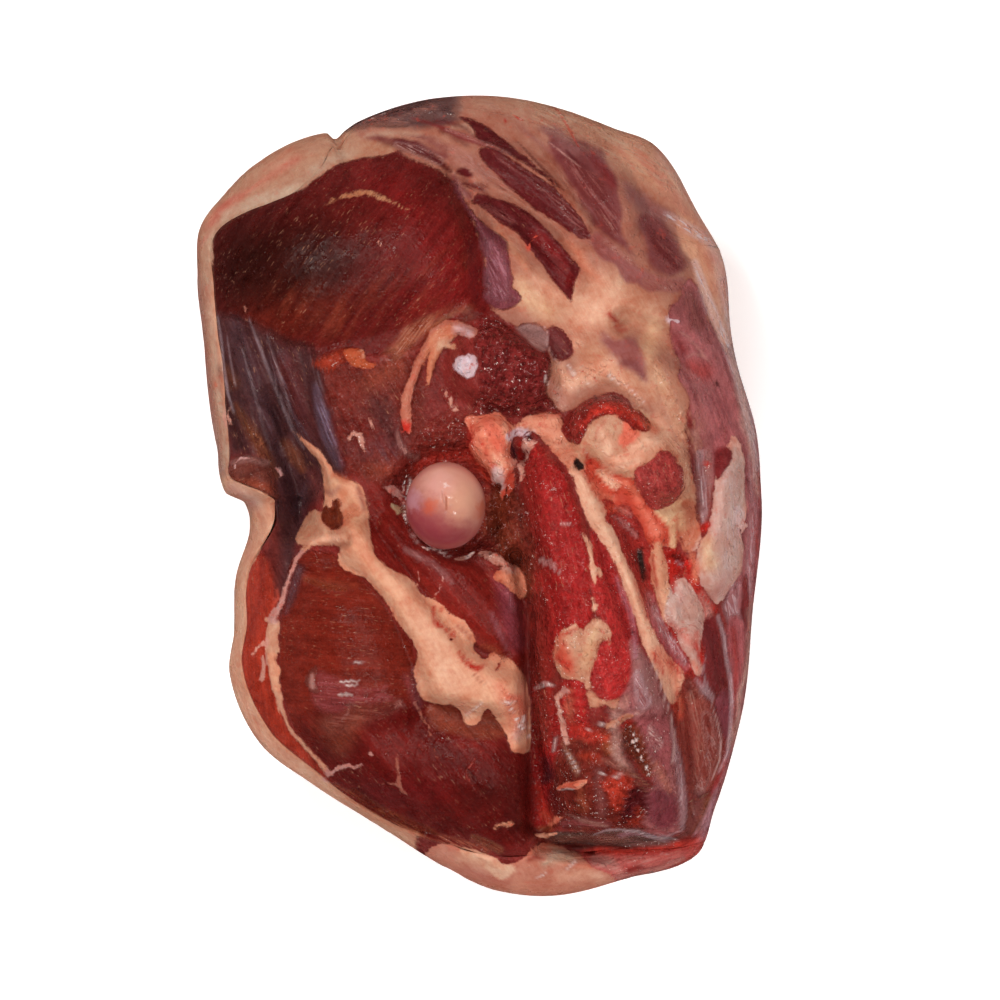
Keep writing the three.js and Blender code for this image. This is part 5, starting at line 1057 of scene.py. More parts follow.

# %% [markdown]
# ## The thick flank and the lower round
#
# Two large muscles meet at the lower left, with a seam of fat and a smaller hip muscle between them
# and the long cleft. They are nearly even in colour, so a few wide washes are enough.

# %% Lower left: thick flank, lower round, seam fat
# painted glints on the wet tip of the seam fat
# painted glints: a cluster of bright specks on the seam fat's tip
# painted glints: short white dashes across the membrane
# painted shade in the deepest spots of the cuts
add_layers("The lower left", """
lean band red, 1.2 grain -85 rag .6 coarse .2: -69 -20,-64 -16,-60 -30,-62 -50,-58 -68,-46 -82,-44 -88,
  -56 -84,-66 -72,-72 -56,-72 -34
wash socket, 3 .8: -65 -20 1.5,-66 -32 1.5,-68 -40 .5
wash raw brown, 3 .7: -62 -10 1.5,-61 -24 1.5,-60 -33 .5
lean thick flank, .6 grain -4 rag .4: -56 -18,-50 -16,-42 -18,-36 -24,-30 -29,-25 -38,-19.6 -45,-17.6 -58,
  -16 -66,-20 -76,-34 -81,-46 -80,-54 -72,-58.6 -62,-60 -50,-59.6 -38,-58 -26
lean lower, 3 grain -50 rag 1: -52 -62,-40 -64,-26 -62,-18 -60,-8 -63,0 -66,6 -68,13 -66,15 -76,16 -90,
  17 -101,10 -108,0 -104,-14 -101.8,-20 -101.8,-25 -101.4,-32 -97,-46 -84,-54 -72
wash thick flank, 4 .9: -52 -60 2,-50 -70 2
wash speckled brown, 4 .9: -46 -68 2,-42 -74 3,-36 -66 2
film tan mauve, 3 .4 streak 1 grain -4: -44 -68 2,-36 -66 2,-26 -63 1
wash crescent, 5 .7: -32 -70 2,-24 -76 3
wash strip, 5 .6: -30 -88 3,-14 -88 3
wash dark, 6 .75: 0 -90 4,9 -86 3,11 -98 2
wash crescent, 3 .7: -6 -74 1,4 -75 1.4
wash speckled brown, 1 .9: -17 -62,-7 -62,-5 -68,0 -69,1 -64,4 -65,8 -69.6,9 -72,0 -73,-8 -71,-14 -70
# the veined membrane in the middle of the thick flank
film fold mauve, 1.6 .8 streak .5 grain -4: -49 -52,-45 -54,-38 -57,-30 -58.6,-25 -60.4,-30 -61.4,-38 -62,
  -41 -64,-46 -64.6,-49 -62.4,-50 -59
film fold mauve, 1 .7 streak .8: -34 -60 .4,-30 -58 .6,-28 -57 .3
film fold mauve, 1.4 .7 streak .3: -22 -54 .6,-20 -58 1,-18.6 -63 .5
fat lump, 1.2 up .3 rag .4 wet .5 feather .5: -49 -51.6 .6,-50.6 -55.4 1.7,-49 -58.4 .7
glaze dusky fat, .6 .7: -50 -53.6 .6,-50 -57 .8
film wet white, .25 .9 streak .5 grain -4: -38 -49.8 .2,-36 -49.7 .35,-34.6 -49.8 .15
film wet white, .25 .8 streak .5 grain -4: -41.4 -55.5 .15,-38.6 -55.3 .3,-35.8 -55.4 .2
film wet white, .25 .7 streak .5 grain -4: -40.6 -56.7 .1,-38 -56.5 .25,-36.4 -56.4 .1
film wet white, .25 .9 streak .6 grain -4: -42 -59.5 .15,-40 -59.3 .35,-38 -59.5 .2
film dusky fat, .3 .6 streak .8: -40 -62.6 .2,-38.6 -62.4 .3,-36.6 -62.6 .2
film dusky fat, .3 .6 streak .4: -39 -63 .1,-39.4 -65 .25,-41 -66.6 .1
film dusky fat, .6 .6 streak .9: -25 -63 .3,-23.8 -61.4 .6,-22.6 -63 .3
form, up -1.6 shoulder 2.5: -57 -20 1.5,-46 -25 1.5,-38 -26 1
wash silver dark, 2.5 .8: -54 -22 1.5,-57 -31 1
film silver, 1.2 .7 streak .7 grain -66: -54 -22 1,-56 -29 1,-58 -35 .4
wash ember, 1.6 .6: -52 -24.6 .4,-42 -26.4 .6,-37 -26.8 .3
film dull ember, .8 .8 streak .9 grain -12: -52 -25 .5,-46 -27 .8,-40 -28 .5
# fat lines
fat rim, up .8 shoulder 1.3 rag .5: -62 -36.6 1.2,-62 -43 1.8,-62.4 -48.6 1.7,-61.4 -53.6 1.3,-60.6 -58 1.1,
  -59.4 -63.4 .8,-57 -69 .6,-52 -75.4 .45,-48 -80 .6,-45 -83.4 .8
fat rim, up .8 shoulder 1.2 rag .4: -63.6 -37 .6,-61 -38 .9,-60.2 -41 .4
fat dusky fat, up .7 rag .5 wet .5: -61.6 -36 .9,-60 -33.4 1.1,-58.6 -30 .6,-57 -24 .5,-54.6 -19 .7,
  -51.4 -15 .8
stain brick, .5 .8: -61.6 -32.6 .3,-60.2 -30.6 .5,-60.6 -28 .2
fat pink white, up .6 rag .3 wet .5: -65 -48 .4,-64.6 -51 .5,-65 -55 .6
fat rose, up .4 rag .5: -68 -47.6 .1,-66 -45 .3,-64.6 -43.4 .4
fat dusky fat, up .6 rag .4: -45.6 -84 .5,-42.4 -81.4 .5,-39 -80.8 .5,-37.4 -81.6 .4,-34.8 -80.4 .2
fat warm streak, up .4 rag .5: -24.8 -77 .1,-24.4 -80 .35,-24 -85 .4,-23.6 -88 .4,-21.8 -89.4 .15
fat warm streak, up .3 rag .5: -29.2 -86.2 .15,-26.4 -86 .35,-24 -87.2 .25
fat warm streak, up .3 rag .4: -19.4 -62 .35,-17 -66 .4,-14.8 -70 .3,-14.2 -74 .25,-12.6 -78 .1
fat brown streak, up .2 rag .5: 1 -76 .15,-2 -79 .25,-3.8 -82 .3,-3 -85.6 .2,-1.6 -88 .1
fat dusky fat, up .2 wet .8: -33 -77 .25,-32.2 -77.3 .35
fat brown streak, up .1 rag .3: -18 -74.6 .1,-17.2 -75.8 .3,-16.8 -76.2 .1
film ember fat, 1 .85 streak 1 grain -30: -43 -87 .6,-36 -92.4 1.3,-28 -97 1.2,-18 -101 1,-6 -104 1.2,
  2 -106 1
film dull ember, 1.4 .7 streak 1: -38 -88.6 .8,-30 -94 1,-14 -101 1
fat warm fat, up .4 rag 1 wet 1 feather .5: 4.6 -99.4 .3,7.4 -98.4 .6,9.8 -98 .4
film tan, 1 .8 streak 1 grain -30: -2 -102 .5,2 -103.6 .8,6 -106 1
# hip muscle
lean hip, .6 grain -50 rag .5 coarse .15: -34 4,-28 2,-24 -4,-21 -10,-18 -16,-6 -19.6,4 -21,9 -23,14 -30,
  15.6 -42,14 -52,8 -50,2 -44,-5 -38,-14 -31,-22 -24.6,-31 -21,-33 -10
wash purple muscle, 2.4 .95: 6 -25 1.4,9 -34 3,11 -44 2.4
film lilac edge, .8 .6 streak .9 grain -62: 3.4 -35 .4,6 -41 .5,8.4 -46 .3
film lilac edge, .8 .5 streak .9 grain -78: 8.6 -28 .4,10 -34 .6
wash lower, 4 .7: -26 -12 2,-14 -22 2
film white, 1 .45 streak .7: -22 -16 .6,-14 -20 .6,-8 -26 .4
fat dusky fat, up .4 rag .5 feather .2: -13 -29.6 .35,-11.4 -27.4 .35,-11 -24 .12
fat dusky fat, up .3 rag .4 feather .2: -18.6 -27 .3,-18 -24.6 .2,-18.4 -22.6 .1
# seam fat
fat seam, .5 up 1.5 shoulder 2.4 rag .35 wet .15: -47 9,-41 5,-35 3.6,-33.4 -4,-32.4 -12,-31 -18,-28 -21,
  -25 -23.4,-21.4 -24,-19 -27,-17 -30.2,-14 -30.6,-11.6 -32,-9 -35,-6 -36.4,-4 -37.4,-2.4 -40,-1 -43.4,
  -2 -45,-.6 -47.4,1 -49.6,3.4 -46.6,6 -47,8 -48,10 -49.6,12 -51.6,14 -55,14.6 -60,15.2 -66,15.4 -72,15 -77,
  12 -77,9.4 -77,8.4 -72,7 -69,4.6 -66.6,3.6 -64.6,2.6 -63.2,.4 -65,0 -67.4,-1 -68.8,-4 -68.8,-4.8 -67,
  -6 -64,-8 -62.2,-12 -62.4,-15.4 -61.6,-17 -61,-18.6 -58.6,-19 -55.4,-20 -53,-19.2 -50,-18.6 -47,
  -19.4 -45.6,-20 -43,-23 -39.6,-25.6 -36,-27.6 -32,-30 -29,-33 -25.6,-35 -24,-38 -23.4,-43 -20.4,-40.4 -12,
  -46 -11,-46.6 -4,-46.2 1,-46.6 5
stain flap orange, 1 .75: -43.4 6.6 .5,-41 5 .9,-39 4.8 .4
fat cream, .5 up 2 shoulder 2 rag .8: -55.4 -13.4,-53.4 -8.4,-50.2 -4.4,-46 -5,-45.4 -9,-40 -10.4,-38 -14,
  -42 -15,-48 -15.4,-52 -15.6
form, up -1.4 shoulder .8: -50 -11 .2,-45 -11.4 .7,-41 -10.6 .2
glaze yellow, 3.5 .55: -43 3 1,-38 -2 1,-36 -10 1
glaze bright cream, 1 .9: -50 -14 .8,-46 -12.8 1.2,-41.6 -12.8 1
lean brown floor, rag .8 up -1.8 shoulder 2 grain -70: -46.8 -5.4,-45.4 -2.6,-44.2 -4.2,-42.8 -.2,-41 -1.2,
  -41 -4,-40.2 -6.6,-41 -9.6,-43.4 -10.8,-45.8 -9.8,-46.8 -7.6
film rust, .6 .85 streak .5 grain -70: -42 -1.4 .4,-41.6 -5 .7,-42 -8 .4
fat tendon orange, up .6 rag .4 wet .8: -40 -7.4 .3,-39 -5.2 .5,-37.6 -3.8 .5,-36.8 -4.6 .3
fat dusky fat, up .8 rag .9 wet .4: -28.4 2.8 .4,-26.6 1.6 1.1,-24.4 .2 1,-23.4 -1.4 .4
fat green cream, up .6 rag .7 wet .4: -25.8 -3 .5,-24.6 -4.6 1,-24.6 -6 .5
glaze pale cream, 4 .6: -20 -34 2,-12 -48 4,-8 -56 4
glaze bright cream, 1.6 .95 wet .8: -5.6 -62.6 1,-3.4 -65.6 1.4,.6 -62 .8
glaze ember fat, 1.4 .8: 0 -45 .5,2.6 -46.6 .8,6 -47.6 .6
glaze pink fat, 3 .55 wet .9: 6 -57 1,9 -62 2.4,11 -68 2
glaze pale mauve, 1.4 .6 wet 1: 11 -72 1.6,13 -68 1
stain fresh blood, 1.4 .7: 9 -60 .6,12 -60.6 .8,13.6 -66.6 .6
stain lip red, 1.4 .6: 12.6 -56 .4,14 -60 .6,14.4 -64 .4
film wet white, .4 .85 streak .8: 7 -61.4 .4,9 -62 .5,10.4 -61.4 .2
film wet white, .4 .4 streak 1: 11 -68 .6,13.6 -68.4 .9,14.8 -69.4 .5
film wet white, .4 .8 streak .9: -4 -63.6 .3,-4 -65.6 .4,.6 -62 .2
glaze ember fat, 1.4 .8: 10 -76 .6,13 -76 1,15 -75 .5
film silver, 1.5 .5: -19.6 -52 .6,-18.6 -58 .8,-18 -63 .6
blood, .6 .95: -13.8 -33.4 .4,-13.4 -36.4 .5,-12.6 -38.4 .9,-10.4 -39.4 .4,-8.4 -41.8 .5
blood, .5 .8: -12 -33.4 .3,-11.4 -34.4 .2
blood, .4 .7: -9 -39.4 .2,-7.4 -40.6 .4,-7.4 -42 .2
blood, .6 .95: -6.2 -46.6 .3,-4.6 -49 .6,-2.4 -51 .9,-.4 -51.6 1,1.2 -50.6 .4
stain ember, .3 .8: -2.4 -52.6 .1,-.4 -54.6 .3,1.4 -56.2 .1
form, up -1.6 shoulder 1: -13 -36 .4,-10 -40.6 .7,-7.6 -43 .4
form, up -2 shoulder 1: -5.6 -47 .3,-2 -51 .9,1 -51 .4
lean dark, rag .2: -8.9 -42.7 .3,-8 -43 .4 | 2.7 -48.7 .25,3.2 -48.5 .3
lean brick, rag .3 up -.5: 4.8 -52.4 .2,5.6 -51 .4,6.2 -49.8 .2
lean ember, rag .5 up -.5: .6 -44.4 .3,3 -45.4 .6,6 -47.6 .6,7.6 -49 .2
fat orange fat, up 2.2 shoulder 2 rag .6 wet .5: 8 -21,11 -20,13.6 -23.4,14.4 -29,13 -31.6,9.6 -29,7.4 -27,
  3.6 -24
fat pink white, up 1.4 rag .6 wet 1: 1 -17.2 .4,5 -18.4 1,8 -20.6 1,9.4 -22 .3
stain brown fat, 1 .8: -46 1.4 .6,-44 .6 1,-42 2.6 .5
stain brown fat, 1 .85: -36.4 2.6 .4,-35.4 -.4 .8,-34.6 -4 .4
stain brown fat, 1 .8 rag .8: -6 -38.6 .4,-4 -40.4 .8,-2.4 -43 .4
fat seam, up .6 rag .7 shoulder .8: -61.8 -48 .5,-60.8 -52 1.1,-60.2 -56 .6
glaze wet white, .2 wet 1: 9.4 -63.6 .2,10 -64.4 .3 | 11 -66.4 .35,11.8 -67 .25 | 13 -66 .35,13.3 -67.2 .4 |
  12.2 -69 .4,13.2 -69.8 .3 | 14.6 -71.6 .4,14.2 -72.8 .3
""")

# %% [markdown]
# ## The rim of the outer fat
#
# The cut edge of the outer fat is laid last, over everything near the outline, because it is in front
# of all the muscles.

# %% The pale rim of the outer fat, laid over everything near the edge on the left
add_layers("The rim", """
fat rim, .5 up .3 rag .2: -78 4,-75 4.6,-70 3,-64 1,-62.2 -1,-62.4 -8,-65 -15,-66.6 -18,-69 -22,-70 -26.4,
  -74 -24,-72 -16,-72 -6,-76 -4
glaze pale mauve, 3 .7: -74 2 1,-68 -2 1.5
glaze pink white, 2 .5: -69 -10 .6,-69 -18 .6
glaze bright cream, 2 .9: -74 -34 1,-75 -48 1,-74 -58 1.4,-69 -68 1.6,-62 -76 1.6,-50 -87 1.6,-40 -95 1
glaze rose, 2.4 .85: 54 102 1,60 95 1.4,67 84 2,72 70 2,73.6 58 1.6
stain mauve cream, 2 .8 rag 1.5: 73.6 56 .1,75 50 .8,77 42 1.4,78.6 32 1.4,80.4 22 1,82.4 10 .6,84 0 .1
stain mauve cream, 1.6 .7 rag 1.5: 82 -32 .1,81.4 -40 .4,80.8 -48 .7,78.6 -58 .8,77 -66 .8,75 -75 .6
stain lilac edge, 1.2 .8: 71 -88 .6,69 -96 1,67 -102 .8
""")
print("In all", len(LAYERS), "layers with", sum(len(layer[3]) for layer in LAYERS), "points")

# %% [markdown]
# ## Painting
#
# `paint_face` walks through the layers and returns, for every point of the cut face, the colours of
# lean, fat and membrane, how deep the point lies in fat, and the height that the layers add. The
# results are stored on the mesh as attributes, which follow the relief exactly and need no picture.

# %% Painting the layers
BARE = {
    "fat_depth": -6.0, "film_part": 0.0, "streak": 0.0, "blood": 0.0, "up": 0.0,
    "wet": 0.25, "coarse": 0.1, "grain": -60.0, "feather": 0.3,
}


def blank_paint(count):
    """Bare raw muscle at every point."""
    paint = {key: np.full(count, value) for key, value in BARE.items()}
    for key, tint in (("lean", "raw"), ("fat", "rim"), ("film", "silver")):
        paint[key] = np.tile(np.array(TINTS[tint]), (count, 1))
    return paint


def lay(paint, near, inside, kind, tint, options):
    """Lays one layer on the points `near`, which lie `inside` its shape by that many millimetres."""
    soft = options.get("soft", 0.4)
    cover = smoothstep(-soft, soft, inside)
    part = options.get("part", 1.0)
    if "streaked" in options:
        angle = math.radians(options["streaked"])
        x, y = paint["x"][near], paint["y"][near]
        across = y * math.cos(angle) - x * math.sin(angle)
        along = x * math.cos(angle) + y * math.sin(angle)
        cover = cover * smoothstep(-0.2, 0.45, noise(across / 1.3, along / 11, 0.5, 31))

    def tend(key, goal, share):
        """Moves a value of the paint towards the goal by the share."""
        share = share[:, None] if paint[key].ndim == 2 else share
        paint[key][near] = mix(paint[key][near], goal, share)

    if kind in ("lean", "fat"):
        tend("feather", options.get("feather", BARE["feather"]), smoothstep(-3, -1, inside))
    if kind == "lean":
        tend("lean", np.array(TINTS[tint]), cover * part)
        paint["fat_depth"][near] = np.minimum(paint["fat_depth"][near], -inside)
        tend("film_part", 0.0, cover)
        tend("blood", 0.0, cover)
        tend("coarse", options.get("coarse", BARE["coarse"]), cover)
        tend("wet", options.get("wet", BARE["wet"]), cover)
        tend("grain", options.get("grain", BARE["grain"]), (inside > 0).astype(float))
    elif kind == "fat":
        tend("fat", np.array(TINTS[tint]), smoothstep(-1.6, -0.8, inside))
        paint["fat_depth"][near] = np.maximum(paint["fat_depth"][near], inside)
        tend("film_part", 0.0, cover)
        tend("blood", 0.0, cover)
        tend("wet", options.get("wet", 0.2), cover)
    elif kind == "film":
        tend("film", np.array(TINTS[tint]), smoothstep(-soft, 0, inside))
        tend("film_part", part, cover)
        tend("streak", options.get("streak", 0.2), cover)
        tend("wet", 0.7, cover * part)
        if "grain" in options:
            tend("grain", options["grain"], (inside > 0).astype(float))
    elif kind == "wash":
        tend("lean", np.array(TINTS[tint]), cover * part)
    elif kind == "glaze":
        tend("fat", np.array(TINTS[tint]), cover * part)
        if "wet" in options:
            tend("wet", options["wet"], cover)
    elif kind == "stain":
        tend("lean", np.array(TINTS[tint]), cover * part)
        tend("fat", np.array(TINTS[tint]), cover * part)
    elif kind == "blood":
        paint["blood"][near] = np.maximum(paint["blood"][near], cover * part)
        tend("wet", 1.0, cover * part)
    up = options.get("up", 0.6 if kind == "fat" else 0.0)
    rise = dome if up > 0 else (lambda t: smoothstep(0, 1, t))
    paint["up"][near] += up * rise(inside / options.get("shoulder", 1.2))


NEAR = 7  # millimetres beyond a shape's edge where nothing of it shows any more


def paint_face(x, y):
    """Lays every layer over the points (x, y). Each layer only visits the points near its shape."""
    paint = blank_paint(len(x))
    paint["x"], paint["y"] = x, y
    warp_x = noise(x / 5, y / 5, 0.5, 11) + 0.55 * noise(x / 1.9, y / 1.9, 0.5, 12)
    warp_y = noise(x / 5, y / 5, 7.5, 13) + 0.55 * noise(x / 1.9, y / 1.9, 7.5, 14)
    for kind, tint, options, shape in LAYERS:
        points = np.array(shape, float)
        margin = NEAR + options.get("soft", 0.4) + (points[:, 2].max() if points.shape[1] == 3 else 0)
        low, high = points[:, :2].min(0) - margin, points[:, :2].max(0) + margin
        near = np.flatnonzero((x > low[0]) & (x < high[0]) & (y > low[1]) & (y < high[1]))
        if len(near):
            rag = options.get("rag", 0.0)
            inside = depth_inside(x[near] + rag * warp_x[near], y[near] + rag * warp_y[near], shape)
            lay(paint, near, inside, kind, tint, options)
    return paint


def fine_relief(x, y, paint):
    """Height of what is smaller than a muscle: lobules of fat, torn fibres, the grain of the cut."""
    in_fat = smoothstep(-0.3, 0.5, paint["fat_depth"])
    lobules = 0.35 * fractal(x / 5, y / 5, 0.5, 21, 2) + 0.12 * noise(x / 1.6, y / 1.6, 0.5, 22)
    angle = np.radians(paint["grain"])
    along = (x * np.cos(angle) + y * np.sin(angle)) / 14
    across = (y * np.cos(angle) - x * np.sin(angle)) / 1.5
    furrows = 0.22 * noise(across, along, 0.5, 23) + 0.25 * fractal(x / 7, y / 7, 3.5, 24, 2)
    crumbs = 0.9 * fractal(x / 2.4, y / 2.4, 0.5, 25, 2)
    return mix(furrows + paint["coarse"] * crumbs, lobules, in_fat)


def face_height(x, y):
    """Everything that the cut face adds to the smooth crown."""
    flat_x, flat_y = x.ravel(), y.ravel()
    paint = paint_face(flat_x, flat_y)
    return (large_relief(flat_x, flat_y) + paint["up"] + fine_relief(flat_x, flat_y, paint)).reshape(x.shape)

# %% [markdown]
# ## Meshes
#
# The face is a square grid bent into a disc: the point (a, b) of the square goes to
# a*sqrt(1 - b^2/2), b*sqrt(1 - a^2/2), whose direction is theta and whose distance from the middle
# says how far phi has come. A grid has no crowded middle, as a disc of rings would, so the relief is
# equally fine all over. Below the edge, rings lead to a single point underneath.

# %% Mesh builders
def make_object(name, points, faces, fields=None):
    """A smooth mesh object. Fields are stored as attributes: numbers, colours (*_tint) or vectors."""
    mesh = bpy.data.meshes.new(name)
    mesh.from_pydata((points * MM).tolist(), [], faces)
    mesh.polygons.foreach_set("use_smooth", np.ones(len(mesh.polygons), bool))
    for key, values in (fields or {}).items():
        kind, part = ("FLOAT", "value") if values.ndim == 1 else ("FLOAT_VECTOR", "vector")
        if key.endswith("_tint"):
            kind, part = "FLOAT_COLOR", "color"
            values = np.concatenate([values, np.ones((len(values), 1))], 1)
        data = mesh.attributes.new(key, kind, "POINT").data
        data.foreach_set(part, values.astype(np.float32).ravel())
    mesh.update()
    made = bpy.data.objects.new(name, mesh)
    bpy.context.scene.collection.objects.link(made)
    print(name, "has", len(mesh.vertices), "vertices and", len(mesh.polygons), "faces")
    return made


def stitch(upper, lower):
    """Quads between two closed loops of vertices, given as their numbers in order."""
    return np.stack([upper, lower, np.roll(lower, -1), np.roll(upper, -1)], -1).tolist()


def ring_faces(first, count, rings):
    """Quads between rings of `count` points that follow each other from vertex `first` on."""
    loops = first + np.arange(rings * count).reshape(rings, count)
    return [quad for upper, lower in zip(loops, loops[1:]) for quad in stitch(upper, lower)]


def fan_faces(first, count, pole, flip=False):
    """Triangles between a ring, from vertex `first` on, and one vertex, the pole."""
    loop = first + np.arange(count)
    ends = [loop, np.roll(loop, -1)] if flip else [np.roll(loop, -1), loop]
    return np.stack([*ends, np.full(count, pole)], -1).tolist()


def fields_of(points):
    """The attributes that the materials read, for points in millimetres. On the flanks the points are
    turned a little to and fro, so that the face's colours don't run straight down them."""
    x, y, z = points.T
    turn = 0.09 * smoothstep(RIM_HEIGHT + 14, RIM_HEIGHT - 6, z) * fractal(x / 15, y / 15, z / 9, 61, 2)
    paint = paint_face(x - turn * y, y + turn * x)
    sine, cosine = np.sin(np.radians(paint["grain"])), np.cos(np.radians(paint["grain"]))
    fields = {key + "_tint": paint[key] for key in ("lean", "fat", "film")}
    for key in ("fat_depth", "film_part", "streak", "blood", "wet", "coarse", "feather"):
        fields[key] = paint[key]
    fields["fibre"] = np.stack([y * cosine - x * sine, x * cosine + y * sine, z], -1)
    return fields


def side_share(points):
    """0 on the face and 1 on the flanks, with an uneven border between them."""
    x, y, z = points.T
    return smoothstep(RIM_HEIGHT + 4, RIM_HEIGHT - 9, z + 9 * fractal(x / 14, y / 14, z / 14, 62, 2))

# %% [markdown]
# ## The lean
#
# The lean is all of the meat inside the outer fat. Its face shows, and the rest is hidden, so the
# face gets nearly all of the vertices. Where the outer fat begins, the lean steps down under it. The
# fat is a skin of its own with a real thickness, and not just a colour on the meat.

# %% The lean
FACE_X, FACE_Y = ((252, 318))
SIDE_RINGS = 10
CLEARANCE = 0.3  # how much deeper the lean lies than the fat is thick


def lip_share(theta):
    """1 where the outer fat ends in a step, 0 where it runs on smoothly over the face."""
    return smoothstep(98, 106, np.degrees(theta) % 360) * (1 - smoothstep(300, 312, np.degrees(theta) % 360))


def lean_inset(theta, phi):
    """How far the lean lies below the smooth body: nothing on the face, the fat's depth beyond it."""
    past = phi - fat_edge(theta)
    step = LIP_DEPTH * lip_share(theta) * smoothstep(-0.045, 0, past)
    under = FAT_EDGE_THICKNESS + (FAT_THICKNESS - FAT_EDGE_THICKNESS) * smoothstep(0, 0.35, past) + CLEARANCE
    return mix(step, under, smoothstep(0, 0.02, past))


def lean_limit(theta):
    """Angle phi to which the face grid reaches: the fat's edge, smoothed and a little beyond."""
    turns = np.linspace(-0.12, 0.12, 9)
    highest = [np.maximum.reduce([fat_edge(theta + a + b) for b in turns[2:7]]) for a in turns]
    return sum(highest) / len(highest) + 0.03


def make_lean():
    """The face grid, and under it a few rings down to a pole."""
    a, b = np.meshgrid(np.linspace(-1, 1, FACE_X), np.linspace(-1, 1, FACE_Y))
    u, v = a * np.sqrt(1 - b * b / 2), b * np.sqrt(1 - a * a / 2)
    theta, share = np.arctan2(v, u), np.hypot(u, v)
    phi = lean_limit(theta) * share**1.4
    face = body(theta, phi, face_height, lean_inset(theta, phi))
    index = np.arange(FACE_X * FACE_Y).reshape(FACE_Y, FACE_X)
    quads = np.stack([index[:-1, :-1], index[:-1, 1:], index[1:, 1:], index[1:, :-1]], -1)
    loop = np.concatenate([index[0, :-1], index[:-1, -1], index[-1, :0:-1], index[:0:-1, 0]])
    loop_theta = theta.ravel()[loop][None, :]
    steps = np.linspace(0, 1, SIDE_RINGS + 1)[1:-1, None]
    start = lean_limit(loop_theta)
    hidden_phi = start + (np.pi - start) * steps
    loop_theta = loop_theta + 0 * steps
    hidden = body(loop_theta, hidden_phi, face_height, lean_inset(loop_theta, hidden_phi))
    pole = body(np.array([0.0]), np.array([np.pi]), face_height, FAT_THICKNESS)
    points = np.concatenate([face.reshape(-1, 3), hidden.reshape(-1, 3), pole])
    count, first = len(loop), FACE_X * FACE_Y
    faces = quads.reshape(-1, 4).tolist() + stitch(loop, first + np.arange(count))
    faces += ring_faces(first, count, SIDE_RINGS - 1)
    faces += fan_faces(first + (SIDE_RINGS - 2) * count, count, len(points) - 1)
    fields = fields_of(points)
    fields["side"] = side_share(points)
    return make_object("lean", points, faces, fields)


lean = make_lean()

# %% [markdown]
# ## The outer fat
#
# The outer fat is a skin 2 to 5 mm thick that wraps the flanks and the whole underside. It could be
# the lean's surface with a Solidify modifier, but the skin has to thin out towards its cut edge, so
# its outer and inner sides are built from the same body function at different depths.

# %% The outer fat
FAT_SECTORS, FAT_OUTER, FAT_INNER = ((760, 92, 14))


def cap_cover(points):
    """1 where the outer fat shows as fat whatever was painted, 0 along the red lip at the shank end."""
    angle = np.degrees(np.arctan2(points[:, 1], points[:, 0])) % 360
    return 1 - smoothstep(255, 262, angle) * (1 - smoothstep(326, 332, angle))


def make_fat():
    """A closed skin: down the outside from the edge to the bottom, and back up the inside."""
    theta = np.linspace(0, 2 * np.pi, FAT_SECTORS, endpoint=False)[None, :]
    edge = fat_edge(theta)
    down = np.linspace(0, 1, FAT_OUTER + 1)[:-1, None] ** 1.5
    phi_out = edge + (np.pi - edge) * down
    lip = LIP_DEPTH * lip_share(theta) * (1 - smoothstep(0, 0.03, phi_out - edge)) ** 2
    outer = body(theta + 0 * phi_out, phi_out, face_height, lip)
    spot = outer.reshape(-1, 3)
    bumps = 0.8 * fractal(*spot.T / 16, 41) + 0.25 * fractal(*spot.T / 4, 42, 2)
    below = smoothstep(0, 12, RIM_HEIGHT + 6 - spot[:, 2]) * smoothstep(0.2, 3, spot[:, 2])
    reach = np.hypot(spot[:, 0], spot[:, 1])
    spot[:, :2] *= (1 + (bumps * below / reach))[:, None]
    up = np.linspace(1, 0, FAT_INNER + 1)[1:, None]
    phi_in = edge + (np.pi - edge) * up
    inner = body(theta + 0 * phi_in, phi_in, face_height, np.maximum(lean_inset(theta, phi_in) - 0.1, 0.5))
    pole_out = body(np.array([0.0]), np.array([np.pi]), face_height)
    pole_in = body(np.array([0.0]), np.array([np.pi]), face_height, FAT_THICKNESS)
    points = np.concatenate([spot, pole_out, inner.reshape(-1, 3), pole_in])
    n, mid = FAT_SECTORS, FAT_OUTER * FAT_SECTORS
    faces = ring_faces(0, n, FAT_OUTER) + fan_faces((FAT_OUTER - 1) * n, n, mid)
    faces += fan_faces(mid + 1, n, len(points) - 1, flip=True) + ring_faces(mid + 1, n, FAT_INNER)
    last = mid + 1 + (FAT_INNER - 1) * n
    faces += stitch(last + np.arange(n), np.arange(n))
    fields = fields_of(points)
    side = side_share(points)
    fields["fat_depth"] = mix(np.maximum(fields["fat_depth"], -1 + 4 * cap_cover(points)), 4.0, side)
    fields["fat_tint"] = mix(fields["fat_tint"], np.array(TINTS["rim"]), side[:, None])
    fields["film_part"] = fields["film_part"] * (1 - side)
    fields["side"] = side
    return make_object("outer_fat", points, faces, fields)


outer_fat = make_fat()

# %% [markdown]
# ## The ball of the thigh bone
#
# The ball is bone under a skin of wet cartilage, nearly round, with a short crack where the ligament
# was torn off. Blender's own UV sphere would do as a start, but here the dents and the crack are
# added to the points directly.

# %% The ball of the thigh bone
CRACK = [(-11, 1.5, 0.1), (-10.4, -1, 0.5), (-9.6, -3, 0.2)]


